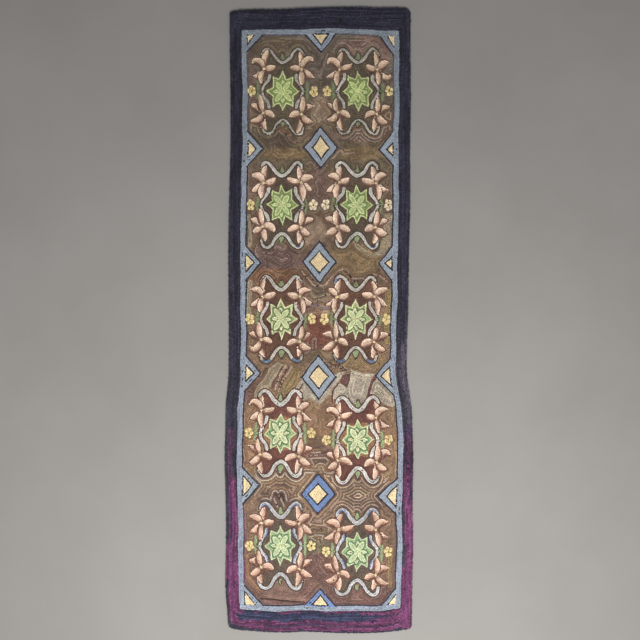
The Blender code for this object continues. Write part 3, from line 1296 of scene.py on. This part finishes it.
def crossing_places(field, level, sides):
    """Where a row crosses each cell side: as far along the side as the level is between its two ends."""
    wide = field.shape[1]
    flat = field.reshape(-1)
    upright = sides >= field.size
    near = np.where(upright, sides - field.size, sides)
    far = np.where(upright, near + wide, near + 1)
    share = (level - flat[near]) / (flat[far] - flat[near])
    x = near % wide + np.where(upright, 0, share)
    y = near // wide + np.where(upright, share, 0)
    return np.stack([x, y], 1)


def row_steps(field, level):
    """The short steps of a row, a line of one level: where each starts and ends, and which comes after
    it."""
    wide = field.shape[1]
    inside = field > level
    corners = inside[:-1, :-1] * 1 + inside[:-1, 1:] * 2 + inside[1:, 1:] * 4 + inside[1:, :-1] * 8
    at = np.flatnonzero((corners > 0) & (corners < 15))
    kind = corners.reshape(-1)[at]
    low = at // (wide - 1) * wide + at % (wide - 1)
    many = field.size
    sides = (low, many + low + 1, low + wide, many + low)
    joins = [(kind == case, first, last) for case, pairs in CROSSINGS.items() for first, last in pairs]
    starts = np.concatenate([sides[first][here] for here, first, _ in joins])
    ends = np.concatenate([sides[last][here] for here, _, last in joins])
    order = np.argsort(starts)
    after = order[np.searchsorted(starts, ends, sorter=order)]
    return crossing_places(field, level, starts), crossing_places(field, level, ends), after


def along_rows(start, end, after):
    """Which closed row each step is in, where along it the step starts, the row's length and the step's
    own.

    Each step looks twice as far ahead in every round, and so finds the lowest number in its row, which
    names the row, and then the length that is left before that step comes round again."""
    many = len(after)
    row, ahead = np.arange(many), after.copy()
    rounds = int(np.ceil(np.log2(max(many, 2)))) + 1
    for _ in range(rounds):
        row = np.minimum(row, row[ahead])
        ahead = ahead[ahead]
    length = np.hypot(*(end - start).T)
    ahead = np.append(np.where(after == row, many, after), many)
    left = np.append(length, 0.0)
    for _ in range(rounds):
        left = left + left[ahead]
        ahead = ahead[ahead]
    total = left[row]
    return row, total - left[:-1], total, length


def loops_in_row(field, level, stitch):
    """The loops of one row: their places, the row's direction at each, the row's number, and how far
    along."""
    start, end, after = row_steps(field, level)
    row, at, total, length = along_rows(start, end, after)
    gap = total / np.maximum(np.round(total / stitch), 1)
    first = np.floor(at / gap - 0.5)
    last = np.floor((at + length) / gap - 0.5)
    holds = (last > first) & (total > stitch * 0.9)
    share = ((last + 0.5) * gap - at)[holds] / length[holds]
    place = start[holds] + (end - start)[holds] * share[:, None]
    order = np.lexsort((last[holds], row[holds]))
    place, row, number = place[order], row[holds][order], last[holds][order]
    step = (end - start)[holds][order]
    here = np.arange(len(row))
    lowest = np.searchsorted(row, row, side="left")
    highest = np.searchsorted(row, row, side="right") - 1
    before = np.where(here == lowest, highest, here - 1)
    behind = np.where(here == highest, lowest, here + 1)
    way = place[behind] - place[before]
    way = np.where((np.hypot(*way.T) < 0.5)[:, None], step, way)
    way /= np.maximum(np.hypot(*way.T), 1e-6)[:, None]
    return place, way, row, number * gap[holds][order]


def kept_apart(place, reach, cells):
    """Which loops stay where two would stand closer than their reach: the one that comes first in the
    list.

    In each round a loop stays if no open loop before it is too close to it, and drops what it stays
    beside."""
    many = len(place)
    rank = np.arange(many)
    wide = cells[1] + 2 * MARGIN
    column, line = np.round(place).astype(int).T + MARGIN
    at = line * wide + column
    holder = np.full((cells[0] + 2 * MARGIN) * wide, -1)
    holder[at[::-1]] = rank[::-1]
    alone = holder[at] == rank
    state = np.where(alone, 0, -1)
    far = int(np.ceil(reach.max())) + 1
    later, sooner = [], []
    for up in range(-far, far + 1):
        for over in range(-far, far + 1):
            if up == 0 and over == 0:
                continue
            other = holder[at + up * wide + over]
            one = np.flatnonzero((other >= 0) & (other < rank) & alone)
            other = other[one]
            close = np.hypot(*(place[one] - place[other]).T) < np.minimum(reach[one], reach[other])
            later.append(one[close])
            sooner.append(other[close])
    later, sooner = np.concatenate(later), np.concatenate(sooner)
    while (state == 0).any():
        waits = np.zeros(many, bool)
        waits[later[(state[later] == 0) & (state[sooner] == 0)]] = True
        state[(state == 0) & ~waits] = 1
        state[later[(state[sooner] == 1) & (state[later] == 0)]] = -1
    return state == 1


def marked(place, cells):
    """The cells that hold a loop."""
    marks = np.zeros(cells, bool)
    marks[np.round(place[:, 1]).astype(int), np.round(place[:, 0]).astype(int)] = True
    return marks


def hooked(design, rim):
    """Every loop of the rug, as whole arrays: its place, its row's direction, its row's number and
    depth, how far along the row it is, and how far it has to reach so that no burlap shows."""
    cells = design.x.shape
    wide = np.isin(design.lot, [LOTS.index(lot) for lot in ("ground", "strip", "border", "inside")])
    fine = design.lot == LOTS.index("line")
    pitch = np.where(wide, WIDE_ROW, np.where(fine, FINE_ROW, ROW))
    depth = distance_to(shape_edges(design.shape), DEEPEST) + 0.5
    rows = softened(np.where(rim > 0, depth / pitch - 0.5, OUTSIDE).astype(np.float32))
    found, base = [], 0
    for level in range(int(rows.max()) + 1):
        place, way, row, along = loops_in_row(rows, level + 1e-4, STITCH)
        found.append((place, way, row + base, np.full(len(row), level), along))
        base += int(row.max()) + 1
    loops = [np.concatenate(parts) for parts in zip(*found)]
    cell = loops[0].astype(int)
    reach = np.where(wide, WIDE_APART, np.where(fine, FINE_APART, APART))[cell[:, 1], cell[:, 0]]
    stays = kept_apart(loops[0], reach, cells)
    loops = [part[stays] for part in loops]
    slope_y, slope_x = np.gradient(rows)
    for _ in range(3):
        bare = np.where(rim > FILLED_INSET, distance_to(marked(loops[0], cells), 12), 0)
        barest = (bare > np.where(wide, WIDE_GAP, GAP)) & (bare >= greatest_near(bare, 3))
        spots = np.argwhere(barest)[:, ::-1].astype(float)
        spots = spots[kept_apart(spots, np.full(len(spots), SPOTS_APART), cells)]
        at = spots.astype(int)
        turn = np.stack([-slope_y[at[:, 1], at[:, 0]], slope_x[at[:, 1], at[:, 0]]], 1)
        turn /= np.maximum(np.hypot(*turn.T), 1e-6)[:, None]
        group = np.floor(spots[:, 1] / GAP_SQUARE) * SQUARES + np.floor(spots[:, 0] / GAP_SQUARE)
        many = len(spots)
        more = (spots, turn, group.astype(int) + base, np.full(many, FILLED), np.zeros(many))
        loops = [np.concatenate(pair) for pair in zip(loops, more)]
    bare = np.where(rim > COVERED_INSET, distance_to(marked(loops[0], cells), 8), 0)
    column, line = np.round(loops[0]).astype(int).T
    reach = greatest_near(bare, 3)[line, column] * COVERING
    return (*loops, np.clip(reach, LEAST_REACH, MOST_REACH))


# --- The loops' colours ---------------------------------------------------------------------------

# How much the wool of each lot changes from strip to strip, with the dye, and from loop to loop.
LOT_CHANGES = {
    "border": (0.20, 0.10, 0.17),
    "frame": (0.04, 0.06, 0.08),
    "line": (0.04, 0.05, 0.12),
    "ground": (0.07, 0.08, 0.08),
    "strip": (0.06, 0.06, 0.08),
    "inside": (0.10, 0.08, 0.09),
    "shade": (0.06, 0.06, 0.08),
    "diamond": (0.04, 0.05, 0.07),
    "yellow": (0.03, 0.04, 0.06),
    "ribbon": (0.07, 0.08, 0.09),
    "petal": (0.04, 0.05, 0.06),
    "green": (0.04, 0.05, 0.06),
}
STRIP_LENGTH = 130  # how long a row stays with one strip of wool, in millimetres


def stripe_strength(x, y):
    """How strongly the ground's strips differ at a place: most in the striped parts, with soft ends."""
    strength = np.full(x.shape, PLAIN_STRIPES)
    for at_x, at_y, reach_x, reach_y, most in STRIPED_PARTS:
        near = np.hypot((x - at_x) / reach_x, (y - at_y) / reach_y)
        strength = np.maximum(strength, most * np.clip((1.3 - near) / 0.3, 0, 1))
    return strength


def with_strips(colour, x, y, row, strip, level):
    """The ground's wool changes from strip to strip. Where it is striped, lighter and darker rows take
    turns as echoes of the motifs, and a row keeps one wool; elsewhere strips come as they may."""
    strength = stripe_strength(x, y)
    striped = (strength > 0.5) & (level != FILLED)
    echo = level % 2 == 1
    pick = chance(row, strip)
    light = np.where(striped & (pick > 0.06), echo, pick > 0.56)
    pale = np.array([WOOLS[wool] for wool in PALE_STRIPS])
    dark = np.array([WOOLS[wool] for wool in DARK_STRIPS])
    part = np.where(striped, 0, strip)
    kind = (chance(part + 2, row + 5) * len(pale)).astype(int)
    wool = np.where(light[:, None], pale[kind], dark[kind])
    varied = chance(row + 3, part + 1)
    amount = strength * np.where(striped, 0.65 + 0.35 * varied, 0.35 + 0.65 * varied)
    amount = amount * np.where(light & (strength < 0.5), 0.8, 1.0)
    return mixed(colour, wool, amount)


def loop_colours(design, loops):
    """Each loop's wool lot, and its colour as shares of light: its cell's colour, then its strip's,
    then its own."""
    place, _, row, level, along, _ = loops
    column, line = np.round(place).astype(int).T
    lot = design.lot[line, column]
    x, y = design.x[line, column], design.y[line, column]
    colour = design.colour[line, column].astype(np.float64)
    changes = np.zeros((len(LOTS), 3))
    for name, shares in LOT_CHANGES.items():
        changes[LOTS.index(name)] = shares
    by_strip, by_dye, by_loop = changes.T
    length = STRIP_LENGTH * (0.6 + chance(row, 3.0))
    strip = np.floor(along / length + chance(row, 7.0))
    ground = lot == LOTS.index("ground")
    of_ground = (values[ground] for values in (colour, x, y, row, strip, level))
    colour[ground] = with_strips(*of_ground)
    factor = 1 + by_strip[lot] * (chance(row, strip) * 2 - 1) + by_dye[lot] * mottling(x, y)
    own = rng.uniform(-1, 1, (len(lot), 1)) + 0.25 * rng.uniform(-1, 1, (len(lot), 3))
    colour = colour * factor[:, None] * (1 + by_loop[lot][:, None] * own)
    return lot, linear(np.clip(colour, 4, 255)) * WOOL_LEVEL


# --- Meshes ---------------------------------------------------------------------------------------

MAP_COLUMNS = 2  # the flat map lays the rug's two halves side by side, so its cells are nearly square
MAP_MARGIN = 0.03  # what is left free round each half, as a share of its column
MAP_SHARE = 0.94  # what each half fills of it


def new_object(name, points, faces, smooth=True):
    """A mesh of the points and faces, given as whole arrays, as an object at the origin."""
    faces = np.asarray(faces, np.int32)
    corners = faces.shape[1]
    mesh = bpy.data.meshes.new(name)
    mesh.vertices.add(len(points))
    mesh.vertices.foreach_set("co", np.ascontiguousarray(points, np.float32).reshape(-1))
    mesh.loops.add(faces.size)
    mesh.loops.foreach_set("vertex_index", faces.reshape(-1))
    mesh.polygons.add(len(faces))
    mesh.polygons.foreach_set("loop_start", np.arange(len(faces), dtype=np.int32) * corners)
    mesh.update(calc_edges=True)
    mesh.validate()
    if smooth:
        mesh.shade_smooth()
    obj = bpy.data.objects.new(name, mesh)
    bpy.context.scene.collection.objects.link(obj)
    return obj


def give_colours(obj, colours):
    """Puts a colour, as shares of light, at every point."""
    layer = obj.data.color_attributes.new("wool", "FLOAT_COLOR", "POINT")
    full = np.ones((len(colours), 4), np.float32)
    full[:, :3] = colours
    layer.data.foreach_set("color", full.reshape(-1))


def give_flat_map(obj, points, half_of):
    """A map seen from above: the rug's lower half on the left and its upper half on the right."""
    low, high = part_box(RUG)
    u = (points[:, 0] - low[0]) / (high[0] - low[0])
    v = (points[:, 1] - low[1]) / (high[1] - low[1])
    u = (half_of + MAP_MARGIN + MAP_SHARE * u) / MAP_COLUMNS
    v = MAP_MARGIN + MAP_SHARE * (v * MAP_COLUMNS - half_of)
    layer = obj.data.uv_layers.new(name="OFBake")
    index = np.empty(len(obj.data.loops), np.int32)
    obj.data.loops.foreach_get("vertex_index", index)
    layer.data.foreach_set("uv", np.stack([u, v], 1)[index].astype(np.float32).reshape(-1))


RING = 6
SHOULDER_DROP = 2.6  # how far a loop's shoulder is below its top, in millimetres
CROWN_RISE = 0.2  # how far its crown is above that
FOOT_HEIGHT = 1.6  # how high its foot is in the foundation
# Light painted into each loop's colour: a painted highlight on its crown, and painted shade on its shoulder
# and, deepest, on its foot between the loops.
PAINTED_SHOULDER_SHADE = 0.88  # painted shade, as a share of the wool's own colour
PAINTED_CROWN_HIGHLIGHT = 1.08
PAINTED_FOOT_SHADE = 0.5
LOOP_FACES = np.array(
    [((k + 1) % RING, k, RING + 1) for k in range(RING)] + [(k, (k + 1) % RING, RING) for k in range(RING)]
)


def lump_points(x, y, way, reach, rise, lean):
    """The points of many loops at once, in metres: a ring of six round each loop's shoulder, its crown
    and its foot.

    The ring is a circle a little squeezed along the row; the crown is above its middle, and the foot is
    below, where the two ends of the loop go through the foundation."""
    angle = np.arange(RING) * 2 * math.pi / RING + math.pi / 6
    side = np.stack([-way[:, 1], way[:, 0]], 1)
    along = 0.96 * reach[:, None] * np.cos(angle)
    across = 1.04 * reach[:, None] * np.sin(angle)
    ring = along[..., None] * way[:, None] + across[..., None] * side[:, None]
    top = pile_height(x * MM, y * MM) / MM + rise
    points = np.zeros((len(x), RING + 2, 3))
    points[:, :, 0] = x[:, None]
    points[:, :, 1] = y[:, None]
    points[:, :RING, :2] += ring
    points[:, : RING + 1, :2] += lean[:, None]
    uneven = rng.uniform(-0.3, 0.3, (len(x), RING))
    points[:, :RING, 2] = top[:, None] - SHOULDER_DROP + uneven
    points[:, RING, 2] = top + CROWN_RISE
    points[:, RING + 1, 2] = FOOT_HEIGHT
    return points * MM


def pile(name, loops, colours, chosen, rim_lean, material):
    """The loops of one wool as one piece."""
    place, way, reach = loops[0][chosen], loops[1][chosen], loops[5][chosen]
    many = len(place)
    x, y = place[:, 0] - HALF_ACROSS + 0.5, place[:, 1] - HALF_ALONG + 0.5
    turn = rng.uniform(-0.3, 0.3, many)
    cos, sin = np.cos(turn), np.sin(turn)
    way = np.stack([way[:, 0] * cos - way[:, 1] * sin, way[:, 0] * sin + way[:, 1] * cos], 1)
    lean = rim_lean[chosen] + rng.uniform(-0.5, 0.5, (many, 2))
    reach = reach * rng.uniform(0.95, 1.08, many)
    rise = rng.uniform(-0.5, 0.5, many)
    points = lump_points(x, y, way, reach, rise, lean).reshape(-1, 3)
    points[:, :2] += PLAN_SHIFT
    faces = (LOOP_FACES[None] + np.arange(many)[:, None, None] * (RING + 2)).reshape(-1, 3)
    # Painted light on every loop: a highlight on the crown, and shade on the shoulder and the foot.
    shade = np.array([PAINTED_SHOULDER_SHADE] * RING + [PAINTED_CROWN_HIGHLIGHT, PAINTED_FOOT_SHADE])
    shades = shade[None, :, None] * (1 + rng.uniform(-0.06, 0.06, (many, RING + 2, 1)))
    obj = new_object(name, points, faces)
    give_colours(obj, (colours[chosen][:, None] * shades).reshape(-1, 3))
    give_flat_map(obj, points, np.repeat((y > 0).astype(float), RING + 2))
    obj.data.materials.append(material)
    return obj


def rim_leans(design, rim, loops):
    """How far each loop leans out over the rim, in millimetres: the outermost row most, with a ragged
    edge."""
    slope_y, slope_x = np.gradient(rim)
    column, line = np.round(loops[0]).astype(int).T
    out = -np.stack([slope_x[line, column], slope_y[line, column]], 1)
    out /= np.maximum(np.hypot(*out.T), 1e-6)[:, None]
    x, y = loops[0].T
    tuft = 0.5 * np.sin(x / 1.9 + y / 1.7) + 0.5 * np.sin(x / 4.3 - y / 3.9)
    tuft = tuft + rng.uniform(-0.8, 0.8, len(x))
    reach = np.clip((13 - rim[line, column]) / 10, 0, 1) * (0.1 + tuft)
    return out * reach[:, None]


# --- The foundation -------------------------------------------------------------------------------

CELLS_ACROSS = 64
CELLS_ALONG = 212
HEM_WIDTH = 0.026
RIM_SETBACK = 0.0030
FOUNDATION_TOP = 0.0024
HEM_RISE = 0.0006  # how much higher the bare back is than the hem that is turned in under it
HEM_SLOPE = 0.004  # how wide the step from the one to the other is
STITCH_RELIEF = 0.00008  # how far the stitches on the back rise and fall
STITCH_WAVES = 900  # in radians to the metre
BURLAP = (150, 124, 88)
DEEPER_WOOL = 0.92  # the foundation's wool colours as a share of the drawn ones
PAINTED_SHADE_UNDER_PILE = 0.45  # the face's painted shade under the pile, as a share of the wool's colour
BACK_WOOL = 0.72  # how much of the bare back is wool


def rounded_corner(x, y, across, along):
    """Pulls a square corner onto its arc: a place keeps its depth in the square and takes it along the
    radius."""
    for side, end, radius in ROUND_CORNERS:
        from_side = (1 - side * across) / 2 * (CUT_SIZE[0] - 2 * RIM_SETBACK)
        from_end = (1 - end * along) / 2 * (CUT_SIZE[1] - 2 * RIM_SETBACK)
        inside = (from_side < radius) & (from_end < radius)
        dx, dy = radius - from_side, radius - from_end
        pull = np.maximum(dx, dy) / np.maximum(np.hypot(dx, dy), 1e-9)
        x = np.where(inside, x - side * dx * (1 - pull), x)
        y = np.where(inside, y - end * dy * (1 - pull), y)
    return x, y


def foundation_plan():
    """The foundation's places, in metres: an even grid of two shares, stretched between the rug's four
    edges."""
    across, along = np.meshgrid(np.linspace(-1, 1, CELLS_ACROSS + 1), np.linspace(-1, 1, CELLS_ALONG + 1))
    y = along * RUG_LENGTH / 2
    x = np.zeros_like(y)
    for _ in range(3):
        left, right, bottom, top = edges_at(x, y)
        x = left + RIM_SETBACK + (right - left - 2 * RIM_SETBACK) * (across + 1) / 2
        y = bottom + RIM_SETBACK + (top - bottom - 2 * RIM_SETBACK) * (along + 1) / 2
    x, y = rounded_corner(x, y, across, along)
    return x, y, across, along


def foundation(design, material):
    """The burlap that the wool is hooked through: a closed thin sheet, its hem turned in along the rim.

    The face is level under the pile. The back is raised by two crossing waves where the stitches show,
    and its hem lies a little lower all round. The two grids meet in a rim of one cell's height."""
    x, y, across, along = foundation_plan()
    from_rim = np.minimum((1 - np.abs(across)) * CUT_SIZE[0], (1 - np.abs(along)) * CUT_SIZE[1]) / 2
    bare = np.clip((from_rim - HEM_WIDTH) / HEM_SLOPE, 0, 1)
    stitches = STITCH_RELIEF * np.sin(x * STITCH_WAVES) * np.sin(y * STITCH_WAVES)
    back = HEM_RISE * bare + stitches * bare
    rows, columns = x.shape
    face_points = np.stack([x, y, np.full(x.shape, FOUNDATION_TOP)], -1).reshape(-1, 3)
    back_points = np.stack([x, y, back], -1).reshape(-1, 3)
    points = np.vstack([face_points, back_points])
    points[:, :2] += PLAN_SHIFT
    number = np.arange(rows * columns).reshape(rows, columns)
    a, b, c, d = number[:-1, :-1], number[:-1, 1:], number[1:, 1:], number[1:, :-1]
    face = np.stack([a, b, c, d], -1).reshape(-1, 4)
    under = face[:, ::-1] + rows * columns
    rim = np.concatenate([number[0, :-1], number[:-1, -1], number[-1, :0:-1], number[:0:-1, 0]])
    beyond = np.roll(rim, -1)
    walls = np.stack([rim + rows * columns, beyond + rows * columns, beyond, rim], 1)
    obj = new_object("burlap_foundation", points, np.vstack([face, under, walls]))
    give_colours(obj, foundation_colours(design, points - np.append(PLAN_SHIFT, 0), from_rim))
    obj.data.materials.append(material)
    return obj


def foundation_colours(design, points, from_rim):
    """The burlap's colours: the wool's own, darkened as painted shade, under the pile, and burlap with the
    wool's stitches on the back, with plain burlap on the hem."""
    column = np.clip((points[:, 0] / MM + HALF_ACROSS).astype(int), 0, design.x.shape[1] - 1)
    line = np.clip((points[:, 1] / MM + HALF_ALONG).astype(int), 0, design.x.shape[0] - 1)
    wool = linear(design.colour[line, column] * DEEPER_WOOL)
    many = from_rim.size
    share = np.where(from_rim.reshape(-1) > HEM_WIDTH, BACK_WOOL, 0.0)[:, None]
    back = wool[many:] * share + linear(BURLAP) * (1 - share)
    # The face under the pile is painted dark, as shade where it shows between the loops.
    return np.vstack([wool[:many] * PAINTED_SHADE_UNDER_PILE, back]) * WOOL_LEVEL


# --- Materials ------------------------------------------------------------------------------------


def node(tree, kind, **values):
    """A new node with some of its sockets and settings filled in."""
    made = tree.nodes.new(kind)
    for key, value in values.items():
        if key in made.inputs:
            made.inputs[key].default_value = value
        else:
            setattr(made, key, value)
    return made


def new_material(name):
    """A material with its node tree and its shader."""
    material = bpy.data.materials.new(name)
    material.use_nodes = True
    tree = material.node_tree
    return material, tree, tree.nodes["Principled BSDF"]


def spread(tree, low, high, first, last):
    """Turns values from low to high into ones from first to last."""
    made = node(tree, "ShaderNodeMapRange")
    for socket, value in zip(("From Min", "From Max", "To Min", "To Max"), (low, high, first, last)):
        made.inputs[socket].default_value = value
    return made


def join(tree, *links):
    """Joins nodes: each link names a node and its output, then a node and the input it goes to."""
    for source, output, target, socket in links:
        tree.links.new(source.outputs[output], target.inputs[socket])


def matt(shader, roughness, shine):
    """Gives a surface its roughness and what little shine it has."""
    shader.inputs["Roughness"].default_value = roughness
    shader.inputs["Specular IOR Level"].default_value = shine


def wool_material(name, sheen):
    """Spun wool: the drawn colour, mottled by fine noise, with fibres as a soft bump and a faint sheen."""
    material, tree, shader = new_material(name)
    colour = node(tree, "ShaderNodeVertexColor", layer_name="wool")
    place = node(tree, "ShaderNodeTexCoord")
    mottle = node(tree, "ShaderNodeTexNoise", Scale=260.0, Detail=3.0, Roughness=0.6)
    fibres = node(tree, "ShaderNodeTexNoise", Scale=1500.0, Detail=2.0, Roughness=0.7, Distortion=0.6)
    lighter = spread(tree, 0.3, 0.7, 0.86, 1.14)
    shades = node(tree, "ShaderNodeVectorMath", operation="SCALE")
    bump = node(tree, "ShaderNodeBump", Strength=0.3, Distance=0.0008)
    join(
        tree,
        (place, "Object", mottle, "Vector"),
        (place, "Object", fibres, "Vector"),
        (mottle, "Fac", lighter, "Value"),
        (colour, "Color", shades, 0),
        (lighter, "Result", shades, "Scale"),
        (shades, "Vector", shader, "Base Color"),
        (fibres, "Fac", bump, "Height"),
        (bump, "Normal", shader, "Normal"),
    )
    matt(shader, 0.95, 0.08)
    shader.inputs["Sheen Weight"].default_value = sheen
    shader.inputs["Sheen Roughness"].default_value = 0.5
    return material


def burlap_material():
    """Plain woven jute: two crossing sets of thick and thin threads, with the drawn colour under them and
    painted shade between them.
    """
    material, tree, shader = new_material("burlap")
    colour = node(tree, "ShaderNodeVertexColor", layer_name="wool")
    place = node(tree, "ShaderNodeTexCoord")
    uneven = node(tree, "ShaderNodeTexNoise", Scale=90.0, Detail=4.0, Roughness=0.6)
    weave = node(tree, "ShaderNodeMath", operation="MULTIPLY")
    for k, direction in enumerate("XY"):
        threads = node(tree, "ShaderNodeTexWave", wave_type="BANDS", bands_direction=direction, Scale=105.0)
        threads.inputs["Distortion"].default_value = 0.6
        join(tree, (place, "Object", threads, "Vector"), (threads, "Fac", weave, k))
    # The weave darkens the colour where the threads dip: painted shade in the weave's grooves.
    painted_weave_shade = spread(tree, 0.0, 0.6, 0.72, 1.15)
    mottle = spread(tree, 0.3, 0.7, 0.85, 1.1)
    both = node(tree, "ShaderNodeMath", operation="MULTIPLY")
    shades = node(tree, "ShaderNodeVectorMath", operation="SCALE")
    bump = node(tree, "ShaderNodeBump", Strength=0.5, Distance=0.0006)
    join(
        tree,
        (place, "Object", uneven, "Vector"),
        (weave, "Value", painted_weave_shade, "Value"),
        (uneven, "Fac", mottle, "Value"),
        (painted_weave_shade, "Result", both, 0),
        (mottle, "Result", both, 1),
        (colour, "Color", shades, 0),
        (both, "Value", shades, "Scale"),
        (shades, "Vector", shader, "Base Color"),
        (weave, "Value", bump, "Height"),
        (bump, "Normal", shader, "Normal"),
    )
    matt(shader, 0.92, 0.2)
    return material


def floor_material():
    """A plain pale floor with a faint, slow unevenness."""
    material, tree, shader = new_material("pale_floor")
    place = node(tree, "ShaderNodeTexCoord")
    noise = node(tree, "ShaderNodeTexNoise", Scale=1.7, Detail=5.0, Roughness=0.55)
    ramp = node(tree, "ShaderNodeValToRGB")
    for stop, (position, tone) in zip(ramp.color_ramp.elements, FLOOR_TONES):
        stop.position = position
        stop.color = tone
    join(
        tree,
        (place, "Object", noise, "Vector"),
        (noise, "Fac", ramp, "Fac"),
        (ramp, "Color", shader, "Base Color"),
    )
    matt(shader, 0.9, 0.2)
    return material


# --- The floor, the light and the camera ----------------------------------------------------------


def lay_floor():
    """A wide flat floor just under the rug."""
    half = FLOOR_SIZE / 2
    points = np.array([(-half, -half), (half, -half), (half, half), (-half, half)])
    points = np.column_stack([points, np.full(4, -FLOOR_DROP)])
    floor = new_object("floor", points, np.array([[0, 1, 2, 3]]), smooth=False)
    floor.data.materials.append(floor_material())


def area_light(name, place, aim, size, power, colour):
    """A soft rectangular lamp that looks at a place."""
    data = bpy.data.lights.new(name, "AREA")
    data.shape = "RECTANGLE"
    data.size, data.size_y = size
    data.energy = power
    data.color = colour
    lamp = bpy.data.objects.new(name, data)
    lamp.location = place
    way = np.subtract(aim, place)
    flat = math.hypot(way[0], way[1])
    lamp.rotation_euler = (math.atan2(flat, -way[2]), 0.0, math.atan2(-way[0], way[1]))
    bpy.context.scene.collection.objects.link(lamp)


def light_room():
    """A large soft lamp over the near end, and an even pale room."""
    area_light("near_window", LAMP_PLACE, LAMP_AIM, LAMP_SIZE, LAMP_POWER, LAMP_COLOUR)
    world = bpy.data.worlds.new("pale_room")
    world.use_nodes = True
    sky = world.node_tree.nodes["Background"]
    sky.inputs["Color"].default_value = ROOM_COLOUR
    sky.inputs["Strength"].default_value = ROOM_LIGHT
    bpy.context.scene.world = world


def place_camera():
    """A camera straight above the rug, its picture's top towards the far end."""
    data = bpy.data.cameras.new("camera")
    data.sensor_width = SENSOR
    data.lens = SENSOR * (CAMERA_HEIGHT - PILE_TOP) / FRAME_HEIGHT
    data.clip_end = CAMERA_FAR
    camera = bpy.data.objects.new("camera", data)
    camera.location = (*CAMERA_CENTRE, CAMERA_HEIGHT)
    bpy.context.scene.collection.objects.link(camera)
    bpy.context.scene.camera = camera


# --- The rug as pieces ----------------------------------------------------------------------------

# The pile's pieces: the name, the lots it holds, and how much its wool shines.
PILES = (
    ("border_pile", ("border",), 0.04),
    ("frame_pile", ("frame",), 0.10),
    ("line_pile", ("line",), 0.04),
    ("ground_pile", ("ground", "strip"), 0.08),
    ("inside_pile", ("inside", "shade"), 0.06),
    ("diamond_pile", ("diamond", "yellow"), 0.10),
    ("ribbon_pile", ("ribbon",), 0.10),
    ("petal_pile", ("petal",), 0.10),
    ("green_pile", ("green",), 0.10),
)
MOST_LOOPS = 16_000  # the most loops in one piece; in one piece, so that it stays under its limit of faces


def make_rug():
    """Draws, hooks and builds the rug, and prints each piece's name and how many loops it holds."""
    design, rim = drawn()
    loops = hooked(design, rim)
    lot, colours = loop_colours(design, loops)
    leans = rim_leans(design, rim, loops)
    base = foundation(design, burlap_material())
    pieces = []
    for name, lots, sheen in PILES:
        chosen = np.flatnonzero(np.isin(lot, [LOTS.index(one) for one in lots]))
        parts = max(1, math.ceil(len(chosen) / MOST_LOOPS))
        order = chosen[np.argsort(colours[chosen].sum(1), kind="stable")]
        material = wool_material(name.replace("pile", "wool"), sheen)
        for part, picked in enumerate(np.array_split(order, parts)):
            full_name = name if parts == 1 else f"{name}_{part + 1}"
            pieces.append(pile(full_name, loops, colours, np.sort(picked), leans, material))
            print(full_name, len(picked), "loops")
    for piece in [base, *pieces]:
        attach(piece, "root")
    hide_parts(RUG)


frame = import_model()
solid_low, solid_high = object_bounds()
plan_box = np.array(
    [
        (LONG_EDGES[:, 1].min() + LONG_EDGES[:, 2].max()) / 2,
        (SHORT_EDGES[:, 1].min() + SHORT_EDGES[:, 2].max()) / 2,
    ]
)
PLAN_SHIFT = np.array([(solid_low[k] + solid_high[k]) / 2 for k in range(2)]) - plan_box

lay_floor()
make_rug()
light_room()
place_camera()
bpy.context.scene.view_settings.view_transform = "Standard"
